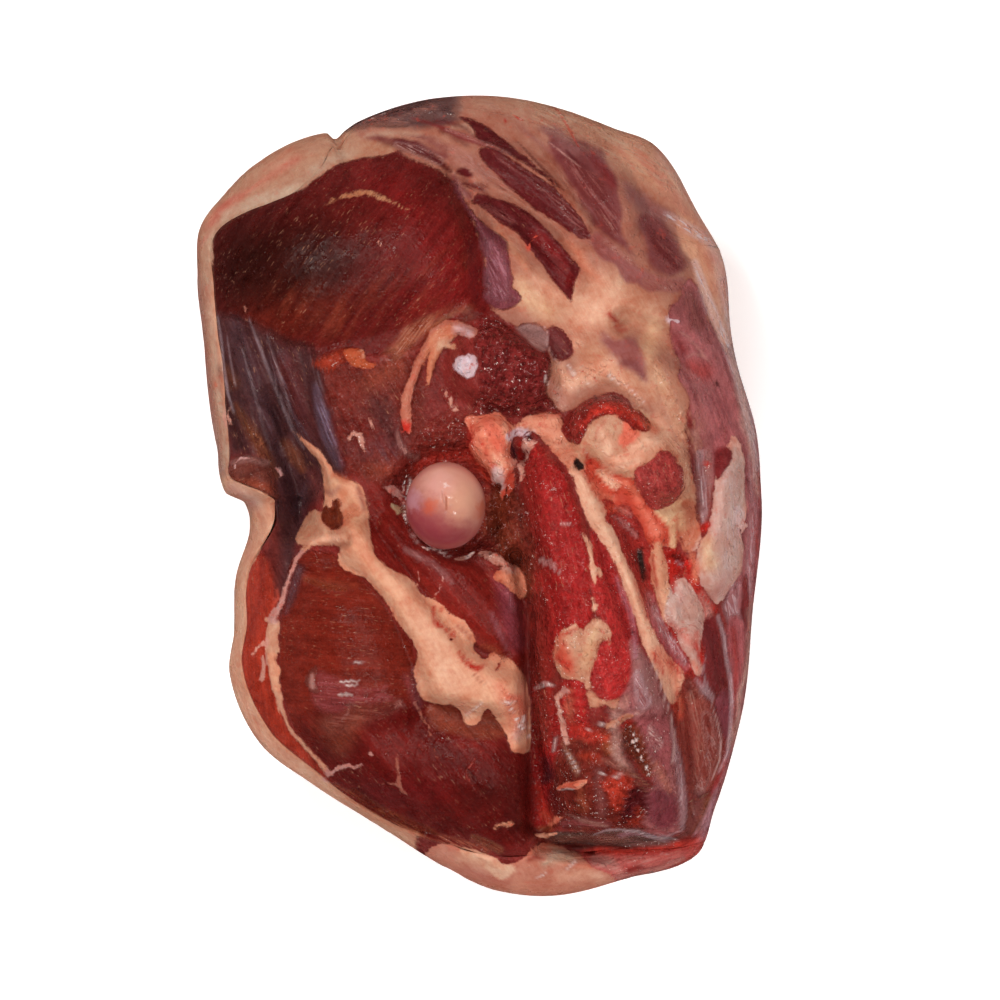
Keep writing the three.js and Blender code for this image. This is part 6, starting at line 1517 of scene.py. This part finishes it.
def make_ball(across=160, down=100):
    """An ellipsoid with shallow dents, from spherical angles."""
    theta = np.linspace(0, 2 * np.pi, across, endpoint=False)[None, :]
    phi = np.linspace(0, np.pi, down + 2)[1:-1, None]
    unit = np.stack([np.sin(phi) * np.cos(theta), np.sin(phi) * np.sin(theta), np.cos(phi) + 0 * theta], -1)
    unit = np.concatenate([unit.reshape(-1, 3), [[0, 0, 1.0], [0, 0, -1.0]]])
    points = unit * np.array(BALL_HALF) + np.array(BALL_CENTRE)
    dents = 0.22 * fractal(*points.T / 6, 51, 2)
    crack = depth_in_spine(points[:, 0], points[:, 1], CRACK)
    points -= unit * (0.5 * smoothstep(-0.5, 0.5, crack) - dents)[:, None]
    top, bottom = len(points) - 2, len(points) - 1
    faces = fan_faces(0, across, top, flip=True)
    faces += ring_faces(0, across, down) + fan_faces((down - 1) * across, across, bottom)
    return make_object("ball", points, faces)


ball = make_ball()

# %% [markdown]
# ## Node groups
#
# Four effects are shared: a torn edge, fibres along the grain, the mottle of fat and the gloss of
# moisture with its painted glints. Each group gives out a mask or a height, and each material has its own
# shader.

# %% Building node groups
def new_group(name, inputs, outputs):
    """A shader group from lists of (kind, label, default) and (kind, label), with its two end nodes."""
    group = bpy.data.node_groups.new(name, "ShaderNodeTree")
    for kind, label, default in inputs:
        socket = group.interface.new_socket(label, in_out="INPUT", socket_type="NodeSocket" + kind)
        if default is not None:
            socket.default_value = default
    for kind, label in outputs:
        group.interface.new_socket(label, in_out="OUTPUT", socket_type="NodeSocket" + kind)
    return group, group.nodes.new("NodeGroupInput"), group.nodes.new("NodeGroupOutput")


def wire(tree, source, target):
    """Links a socket to a socket, or sets the socket to a number or a tuple."""
    if isinstance(source, bpy.types.NodeSocket):
        tree.links.new(source, target)
    else:
        target.default_value = source


def node(tree, kind, settings=None, **inputs):
    """A node with its properties set and its inputs wired. Input names have _ for a space, and i0 and
    i1 stand for the first two inputs, where both have the same name."""
    made = tree.nodes.new("ShaderNode" + kind)
    for key, value in (settings or {}).items():
        setattr(made, key, value)
    for key, value in inputs.items():
        wire(tree, value, made.inputs[int(key[1:]) if key in ("i0", "i1") else key.replace("_", " ")])
    return made


def maths(tree, operation, a, b=0.0, c=0.0, clamped=False):
    made = tree.nodes.new("ShaderNodeMath")
    made.operation, made.use_clamp = operation, clamped
    for socket, value in zip(made.inputs, (a, b, c)):
        wire(tree, value, socket)
    return made.outputs[0]


def ramp(tree, value, low, high, to_low=0.0, to_high=1.0):
    """Smooth step from to_low, where the value is low, to to_high, where it is high."""
    smooth = {"interpolation_type": "SMOOTHSTEP"}
    limits = {"From_Min": low, "From_Max": high, "To_Min": to_low, "To_Max": to_high}
    return node(tree, "MapRange", smooth, Value=value, **limits).outputs["Result"]


def blend(tree, share, a, b, how="MIX"):
    """A blend of two colours. A Mix node keeps its colours at inputs 6 and 7 and at output 2."""
    made = tree.nodes.new("ShaderNodeMix")
    made.data_type, made.blend_type = "RGBA", how
    for socket, value in ((0, share), (6, a), (7, b)):
        wire(tree, value, made.inputs[socket])
    return made.outputs[2]


def blend_numbers(tree, share, a, b):
    """The same for numbers, which are at inputs 2 and 3 and at output 0."""
    made = node(tree, "Mix", {"data_type": "FLOAT"})
    for socket, value in ((0, share), (2, a), (3, b)):
        wire(tree, value, made.inputs[socket])
    return made.outputs[0]


def product(tree, a, b, clamped=False):
    return maths(tree, "MULTIPLY", a, b, clamped=clamped)


def centred(tree, value):
    """Noise is around 0.5, and this moves it to around 0."""
    return maths(tree, "SUBTRACT", value, 0.5)


def stretched(tree, vector, factors):
    return node(tree, "VectorMath", {"operation": "MULTIPLY"}, i0=vector, i1=factors).outputs[0]


def distance(tree, vector, place):
    return node(tree, "VectorMath", {"operation": "DISTANCE"}, i0=vector, i1=place).outputs["Value"]


def noise_node(tree, vector, scale, detail=2.0, rough=0.5):
    return node(tree, "TexNoise", Vector=vector, Scale=scale, Detail=detail, Roughness=rough).outputs["Fac"]


def attribute(tree, name, socket="Fac"):
    return node(tree, "Attribute", {"attribute_name": name}).outputs[socket]

# %% The four groups
def torn_edge_group():
    """Mask from a depth in millimetres, whose edge is moved by noise of a few sizes and frayed
    along the fibres."""
    vectors = [("Vector", "Position", None), ("Vector", "Fibre", None)]
    numbers = [("Float", "Depth", 0.0), ("Float", "Feather", 0.3)]
    group, into, out = new_group("Torn edge", vectors + numbers, [("Float", "Mask")])
    broad = centred(group, noise_node(group, into.outputs["Position"], 380, 4, 0.7))
    along = stretched(group, into.outputs["Fibre"], (0.9, 0.09, 0.3))
    frayed = centred(group, noise_node(group, along, 1.0, 3, 0.6))
    fray = product(group, into.outputs["Feather"], 4.0)
    moved = product(group, maths(group, "ADD", product(group, broad, 1.4), frayed), fray)
    moved = maths(group, "ADD", moved, into.outputs["Depth"])
    spread = maths(group, "DIVIDE", moved, into.outputs["Feather"])
    wire(group, ramp(group, spread, -1.0, 1.0), out.inputs["Mask"])
    return group


def fibre_group():
    """Noise stretched along the grain: thin lines across it, long runs along it."""
    group, into, out = new_group("Muscle fibre", [("Vector", "Fibre", None)],
                                 [("Float", "Bundles"), ("Float", "Lines"), ("Float", "Flecks")])
    long = stretched(group, into.outputs["Fibre"], (1.0, 0.06, 0.3))
    wire(group, noise_node(group, long, 0.35, 3, 0.6), out.inputs["Bundles"])
    wire(group, noise_node(group, long, 1.7, 3, 0.6), out.inputs["Lines"])
    short = stretched(group, into.outputs["Fibre"], (1.6, 0.22, 0.6))
    wire(group, ramp(group, noise_node(group, short, 1.5, 2, 0.6), 0.62, 0.72), out.inputs["Flecks"])
    return group


def mottle_group():
    """Fat seen close: cloudy patches, small lobules and pores."""
    group, into, out = new_group("Fat mottle", [("Vector", "Position", None)],
                                 [("Float", "Clouds"), ("Float", "Lobules"), ("Float", "Pores")])
    for scale, detail, label in ((130, 4, "Clouds"), (520, 4, "Lobules"), (2200, 2, "Pores")):
        wire(group, noise_node(group, into.outputs["Position"], scale, detail, 0.6), out.inputs[label])
    return group


def moisture_group():
    """Roughness from wetness: beads and runs of liquid are smooth, the rest is satin. Glints is a mask of
    painted highlights: tiny bright curls and dots, like those that lamps leave on wet meat."""
    group, into, out = new_group("Moisture", [("Vector", "Position", None), ("Float", "Wetness", 0.3)],
                                 [("Float", "Roughness"), ("Float", "Droplets"), ("Float", "Glints")])
    position, wetness = into.outputs["Position"], into.outputs["Wetness"]
    patches = noise_node(group, position, 260, 4, 0.6)
    film = ramp(group, maths(group, "MULTIPLY_ADD", wetness, 0.5, patches), 0.5, 0.95)
    wire(group, maths(group, "MULTIPLY_ADD", film, -0.30, 0.40), out.inputs["Roughness"])
    beads = ramp(group, noise_node(group, position, 620, 1.5, 0.5), 0.50, 0.75)
    wire(group, product(group, beads, wetness), out.inputs["Droplets"])
    curl = maths(group, "ABSOLUTE", centred(group, noise_node(group, position, 560, 2, 0.55)))
    spots = noise_node(group, position, 720, 1, 0.5)
    glints = product(group, ramp(group, curl, 0.024, 0.006), ramp(group, spots, 0.62, 0.70))
    dots = ramp(group, noise_node(group, position, 1500, 1, 0.5), 0.70, 0.76)
    where = ramp(group, noise_node(group, position, 130, 3, 0.6), 0.47, 0.60)
    where = product(group, where, ramp(group, wetness, 0.3, 1.0))
    wire(group, product(group, maths(group, "MAXIMUM", glints, dots), where), out.inputs["Glints"])
    return group


TORN_EDGE, FIBRE, MOTTLE, MOISTURE = torn_edge_group(), fibre_group(), mottle_group(), moisture_group()
print(len(bpy.data.node_groups), "node groups")


def use_group(tree, group, **inputs):
    made = tree.nodes.new("ShaderNodeGroup")
    made.node_tree = group
    for key, value in inputs.items():
        wire(tree, value, made.inputs[key])
    return made.outputs

# %% [markdown]
# ## Materials
#
# The lean's material starts from the painted muscle colour, darkens it between the fibre bundles
# and lightens it along the lines, darkens the gaps between crumbs as painted shade, stretches the membrane
# over it, lays on fat with a torn edge, stains it with blood and mixes in painted glints where it is wet.
# The outer fat uses the same material, with fell and thin places on its flanks, so that the colours meet
# without a seam. The bone is simpler: a pale shell with a few spots, painted shade and painted highlights.

# %% Shader helpers
def new_material(name):
    """A material, its tree and shader, and the position on the object in metres."""
    material = bpy.data.materials.new(name)
    material.use_nodes = True
    tree = material.node_tree
    shader = tree.nodes["Principled BSDF"]
    return material, tree, shader, node(tree, "TexCoord").outputs["Object"]


def finish_shader(tree, shader, colour, roughness, height, bump, depth, subsurface, radius, gloss):
    """Wires the colour, roughness and bump, and sets how light enters and leaves moist flesh."""
    wire(tree, colour, shader.inputs["Base Color"])
    wire(tree, roughness, shader.inputs["Roughness"])
    shader.inputs["Subsurface Weight"].default_value = subsurface
    shader.inputs["Subsurface Scale"].default_value = radius
    shader.inputs["Subsurface Radius"].default_value = (1.0, 0.35, 0.2)
    shader.inputs["IOR"].default_value = 1.4
    shader.inputs["Specular IOR Level"].default_value = 0.4
    shader.inputs["Specular Tint"].default_value = gloss
    bumped = node(tree, "Bump", Strength=bump, Distance=depth, Height=height)
    wire(tree, bumped.outputs["Normal"], shader.inputs["Normal"])


def weighed(tree, *terms):
    """Half, plus each noise's distance from half times its weight, kept between 0 and 1."""
    total = 0.5
    for value, weight in terms:
        total = maths(tree, "MULTIPLY_ADD", centred(tree, value), weight, total)
    return maths(tree, "ADD", total, 0.0, clamped=True)


def tinted(tree, colour, factors):
    """The colour, made lighter or darker in red, green and blue apart."""
    return blend(tree, 1.0, colour, (*factors, 1), "MULTIPLY")


# %% Muscle, membrane and fat
GOLD, FIBRE_END, THIN_PINK = (0.44, 0.19, 0.11, 1), (0.52, 0.26, 0.25, 1), (0.42, 0.10, 0.085, 1)
FELL, BLOOD, BLOODSHOT = (0.66, 0.42, 0.33, 1), (0.46, 0.018, 0.012, 1), (0.52, 0.060, 0.036, 1)
GLINT = (0.92, 0.76, 0.68, 1)


def muscle_colour(tree, position, fibre, coarse):
    """Painted muscle colour with bundles, fibres, crumbs and a few golden flecks, painted shade in the
    gaps between the crumbs, and pale curls that are partly fibre ends and partly painted glints.
    """
    tint = attribute(tree, "lean_tint", "Color")
    middle = noise_node(tree, position, 380, 3, 0.65)
    fine = noise_node(tree, position, 1900, 2, 0.6)
    tone = weighed(tree, (fibre["Bundles"], 1.3), (fibre["Lines"], 0.8), (middle, 0.9), (fine, 0.8))
    colour = blend(tree, tone, tinted(tree, tint, (0.52, 0.40, 0.40)), tinted(tree, tint, (1.50, 1.65, 1.60)))
    few = ramp(tree, noise_node(tree, position, 60, 2, 0.5), 0.45, 0.6, 0.1, 0.5)
    colour = blend(tree, product(tree, fibre["Flecks"], few), colour, GOLD)
    crumbs = noise_node(tree, position, 520, 2, 0.6)
    # painted shade: the hollows between crumbs, which the bump also lowers, are darkened
    gaps = product(tree, ramp(tree, crumbs, 0.50, 0.36, 0.0, 0.7), coarse)
    colour = blend(tree, gaps, colour, tinted(tree, tint, (0.35, 0.30, 0.30)))
    # pale curls along thin ridges of noise on the coarse cut: partly fibre ends, partly painted glints
    ridge = maths(tree, "ABSOLUTE", centred(tree, noise_node(tree, position, 430, 2, 0.6)))
    ridge = product(tree, ramp(tree, ridge, 0.018, 0.004), ramp(tree, crumbs, 0.54, 0.64))
    rough = product(tree, product(tree, ridge, 0.65), coarse, clamped=True)
    return blend(tree, rough, colour, FIBRE_END), crumbs


def membrane_cover(tree, fibre):
    """How much of the membrane shows: an even veil, or a web of streaks along the grain."""
    streaks = ramp(tree, fibre["Bundles"], 0.36, 0.56)
    lines = ramp(tree, fibre["Lines"], 0.46, 0.60)
    web = product(tree, streaks, maths(tree, "MULTIPLY_ADD", lines, 0.95, 0.12), clamped=True)
    even = maths(tree, "MULTIPLY_ADD", lines, 0.25, 0.7)
    share = blend_numbers(tree, attribute(tree, "streak"), even, web)
    return product(tree, attribute(tree, "film_part"), share, clamped=True)


def fat_colour(tree, position, depth, wet, fibre):
    """Painted fat colour, mottled, pinker at its thin edges and where it is wet."""
    tint = attribute(tree, "fat_tint", "Color")
    mottle = use_group(tree, MOTTLE, Position=position)
    tone = weighed(tree, (mottle["Clouds"], 2.0), (mottle["Lobules"], 0.8), (fibre["Lines"], 0.7))
    colour = blend(tree, tone, tinted(tree, tint, (0.88, 0.66, 0.60)), tinted(tree, tint, (1.13, 1.28, 1.33)))
    uneven = maths(tree, "MULTIPLY_ADD", centred(tree, mottle["Lobules"]), 3.0, depth)
    thin = product(tree, ramp(tree, uneven, 1.8, -0.2), 0.3)
    colour = blend(tree, thin, colour, tinted(tree, tint, (0.92, 0.50, 0.46)))
    spots = ramp(tree, noise_node(tree, position, 300, 5, 0.7), 0.56, 0.68)
    spots = product(tree, spots, maths(tree, "MULTIPLY_ADD", wet, 0.75, 0.08))
    return blend(tree, spots, colour, BLOODSHOT), mottle


# %% The flesh material
def flank_colour(tree, position, fat):
    """On the flanks the fat has thin places, where the meat shows pink, and shreds of white fell."""
    side = attribute(tree, "side")
    thin = ramp(tree, noise_node(tree, position, 32, 4, 0.6), 0.50, 0.72, 0.0, 0.6)
    fat = blend(tree, product(tree, thin, side), fat, THIN_PINK)
    tall = stretched(tree, position, (1.0, 1.0, 0.25))
    fell = ramp(tree, noise_node(tree, tall, 90, 4, 0.6), 0.5, 0.7, 0.0, 0.6)
    return blend(tree, product(tree, fell, side), fat, FELL)


def flesh_material(name, outside):
    """Muscle, membrane, fat, blood and painted glints; on the outside, fell and thin pink places as well."""
    material, tree, shader, position = new_material(name)
    coarse, wet, depth = [attribute(tree, key) for key in ("coarse", "wet", "fat_depth")]
    grain = attribute(tree, "fibre", "Vector")
    fibre = use_group(tree, FIBRE, Fibre=grain)
    muscle, crumbs = muscle_colour(tree, position, fibre, coarse)
    fat, mottle = fat_colour(tree, position, depth, wet, fibre)
    if outside:
        fat = flank_colour(tree, position, fat)
    feather = attribute(tree, "feather")
    mask = use_group(tree, TORN_EDGE, Position=position, Fibre=grain, Depth=depth, Feather=feather)["Mask"]
    colour = blend(tree, mask, muscle, fat)
    colour = blend(tree, membrane_cover(tree, fibre), colour, attribute(tree, "film_tint", "Color"))
    patches = ramp(tree, noise_node(tree, position, 480, 5, 0.75), 0.36, 0.56)
    blood = product(tree, attribute(tree, "blood"), maths(tree, "MULTIPLY_ADD", patches, 0.5, 0.5))
    colour = blend(tree, blood, colour, BLOOD)
    moisture = use_group(tree, MOISTURE, Position=position, Wetness=wet)
    # painted highlights: where the glint mask is on, the colour turns near white
    colour = blend(tree, moisture["Glints"], colour, GLINT)
    loose = product(tree, crumbs, maths(tree, "MULTIPLY_ADD", coarse, 3.0, 0.1))
    in_muscle = maths(tree, "MULTIPLY_ADD", fibre["Bundles"], 0.5, loose)
    in_fat = maths(tree, "MULTIPLY_ADD", mottle["Pores"], 0.10, product(tree, mottle["Lobules"], 0.4))
    height = blend_numbers(tree, mask, in_muscle, maths(tree, "ADD", in_fat, 0.5))
    height = maths(tree, "MULTIPLY_ADD", moisture["Droplets"], 0.8, height)
    finish_shader(tree, shader, colour, moisture["Roughness"], height, bump=0.9, depth=0.0006,
                  subsurface=0.12, radius=0.0015, gloss=(1.0, 0.90, 0.84, 1))
    return material


# %% The bone material
CARTILAGE, SHADED_CARTILAGE = (0.64, 0.285, 0.205, 1), (0.27, 0.040, 0.050, 1)
RIM_RED, CRACK_RED = (0.46, 0.120, 0.100, 1), (0.36, 0.10, 0.055, 1)
SPOTS = [  # x, y, full within, gone beyond, strength, tint
    # painted light: a broad pale-yellow shine right of the ball's middle
    (-0.0055, -0.0020, 0.0005, 0.0090, 0.7, (0.68, 0.345, 0.225)),
    (-0.0205, -0.0010, 0.001, 0.0050, 0.6, (0.50, 0.24, 0.28)),
    (-0.0120, 0.0040, 0.001, 0.0075, 0.6, (0.72, 0.36, 0.30)),
    (-0.0150, -0.0032, 0.0002, 0.0030, 0.75, (0.50, 0.085, 0.045)),
    (-0.0134, -0.0022, 0.0002, 0.0020, 0.6, (0.54, 0.130, 0.075)),
    # painted highlights: two small near-white spots by the crack
    (-0.0101, 0.0035, 0.0002, 0.0016, 0.8, (0.80, 0.60, 0.56)),
    (-0.0070, -0.0010, 0.0002, 0.0014, 0.5, (0.80, 0.58, 0.46)),
    (0.0020, -0.0040, 0.0010, 0.0050, 0.8, (0.48, 0.110, 0.060)),
]


def bone_material():
    """Wet cartilage: paler at the far left, with soft spots and a crack. Painted shade darkens its lower
    left and its rim, and painted highlights brighten it right of the middle and by the crack.
    """
    material, tree, shader, position = new_material("joint cartilage")
    apart = node(tree, "SeparateXYZ", Vector=position).outputs
    # painted shade: the colour darkens to the shaded cartilage towards the ball's lower left
    low = maths(tree, "ADD", product(tree, apart["Y"], -1.0), product(tree, apart["X"], -0.55))
    clouds, fine = noise_node(tree, position, 160, 4, 0.6), noise_node(tree, position, 420, 4, 0.6)
    low = maths(tree, "MULTIPLY_ADD", centred(tree, clouds), 0.010, low)
    colour = blend(tree, ramp(tree, low, -0.004, 0.020), CARTILAGE, SHADED_CARTILAGE)
    flat = stretched(tree, position, (1, 1, 0))
    for x, y, full, gone, strength, tint in SPOTS:
        away = maths(tree, "MULTIPLY_ADD", centred(tree, fine), 0.006, distance(tree, flat, (x, y, 0)))
        colour = blend(tree, ramp(tree, away, gone, full, 0.0, strength), colour, (*tint, 1))
    # painted shade: a redder, darker ring at the ball's edge
    rim = distance(tree, flat, (BALL_CENTRE[0] * MM, BALL_CENTRE[1] * MM, 0))
    colour = blend(tree, ramp(tree, rim, 0.0106, 0.0124, 0.0, 0.55), colour, RIM_RED)
    across = maths(tree, "ABSOLUTE", maths(tree, "ADD", apart["X"], 0.0099))
    along = maths(tree, "ABSOLUTE", maths(tree, "ADD", apart["Y"], 0.0022))
    line = product(tree, ramp(tree, across, 0.0005, 0.0001), ramp(tree, along, 0.0024, 0.0018, 0.0, 0.7))
    colour = blend(tree, line, colour, CRACK_RED)
    moisture = use_group(tree, MOISTURE, Position=position, Wetness=0.9)
    finish_shader(tree, shader, colour, moisture["Roughness"], clouds, bump=0.3, depth=0.0004,
                  subsurface=0.3, radius=0.002, gloss=(1, 1, 1, 1))
    return material


# %% [markdown]
# ## What each piece stands for
#
# Each piece takes the place of one node of the CAD model, on the same body.

# %% Dressing the pieces
for piece, material, cad_node, slot in (
    (lean, flesh_material("raw lamb", outside=False), "lean_meat", "meat"),
    (outer_fat, flesh_material("lamb fat", outside=True), "fat_cap", "fat"),
    (ball, bone_material(), "femur_head", "bone"),
):
    piece.data.materials.append(material)
    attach(piece, "root")
    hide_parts(cad_node)
    print(piece.name, "stands for", cad_node)

# %% [markdown]
# ## Floor, light and camera
#
# The leg lies on a white floor under a soft, even light from above, a little stronger from the far
# end. Four broad lamps give the light, and five small ones only add the glints on the wet parts. So
# the floor, the sky and the broad lamps are hidden from glossy rays: mirrored in the moist meat they
# would lay a grey haze over its red. The floor glows faintly, to come out white.

# %% Floor
def make_floor(size=3.0, glow=0.45):
    mesh = bpy.data.meshes.new("floor")
    half = size / 2
    corners = [(-half, -half, 0), (half, -half, 0), (half, half, 0), (-half, half, 0)]
    mesh.from_pydata(corners, [], [(0, 1, 2, 3)])
    floor = bpy.data.objects.new("floor", mesh)
    bpy.context.scene.collection.objects.link(floor)
    material, tree, shader, position = new_material("white floor")
    tone = ramp(tree, noise_node(tree, position, 3, 2, 0.5), 0.3, 0.7, 0.93, 0.96)
    wire(tree, tone, shader.inputs["Base Color"])
    shader.inputs["Roughness"].default_value = 0.9
    shader.inputs["Specular IOR Level"].default_value = 0.1
    shader.inputs["Emission Color"].default_value = (1, 1, 1, 1)
    shader.inputs["Emission Strength"].default_value = glow
    mesh.materials.append(material)
    floor.visible_glossy = False


make_floor()

# %% Lights
BROAD, SMALL = 0.25, 0.04  # the lamps' widths in metres
LAMPS = [  # name, place, width, watts
    ("far left", (-0.45, 0.70, 0.85), BROAD, 7.6),
    ("right", (0.85, 0.10, 0.80), BROAD, 3.6),
    ("near", (0.10, -0.85, 0.80), BROAD, 4.6),
    ("left", (-0.85, -0.20, 0.80), BROAD, 3.2),
    ("glint left", (-0.20, 0.26, 0.90), SMALL, 0.7),
    ("glint right", (0.24, 0.04, 0.92), SMALL, 0.4),
    ("glint near", (-0.02, -0.28, 0.90), SMALL, 0.4),
    ("glint far", (0.10, 0.34, 0.88), SMALL, 0.4),
    ("glint low", (0.36, -0.26, 0.80), SMALL, 0.4),
]
AIM = (0, 0, 0.05)


def area_light(name, place, size, power):
    """A round lamp that points at the middle of the leg."""
    data = bpy.data.lights.new(name, "AREA")
    data.shape, data.size, data.energy = "DISK", size, power
    lamp = bpy.data.objects.new(name, data)
    bpy.context.scene.collection.objects.link(lamp)
    lamp.location = place
    lamp.rotation_euler = (Vector(AIM) - Vector(place)).to_track_quat("-Z", "Y").to_euler()
    lamp.visible_glossy = size == SMALL


for lamp_values in LAMPS:
    area_light(*lamp_values)

world = bpy.data.worlds.new("soft studio")
bpy.context.scene.world = world
world.use_nodes = True
world.cycles_visibility.glossy = False
sky = world.node_tree
height = node(sky, "SeparateXYZ", Vector=node(sky, "TexCoord").outputs["Generated"]).outputs["Z"]
wire(sky, ramp(sky, height, 0.80, 0.93, 0.32, 0.03), sky.nodes["Background"].inputs["Strength"])
print(len(LAMPS), "lamps")

# %% [markdown]
# ## The camera
#
# The camera looks straight down from far away through a long lens, so that the flanks hardly show.
# It is moved a little off the middle, and the lens follows from the width that the frame shows.

# %% The camera
CAMERA_HEIGHT, FRAME_WIDTH, SENSOR = 12.0, 0.300, 36
camera_data = bpy.data.cameras.new("camera")
camera = bpy.data.objects.new("camera", camera_data)
bpy.context.scene.collection.objects.link(camera)
camera.location = (0.00615, -0.0012, CAMERA_HEIGHT)
camera_data.sensor_width = SENSOR
camera_data.lens = SENSOR * (CAMERA_HEIGHT - RIM_HEIGHT * MM) / FRAME_WIDTH
camera_data.clip_end = 30
bpy.context.scene.camera = camera
bpy.context.scene.view_settings.view_transform = "Standard"
print("Lens:", round(camera_data.lens), "mm")
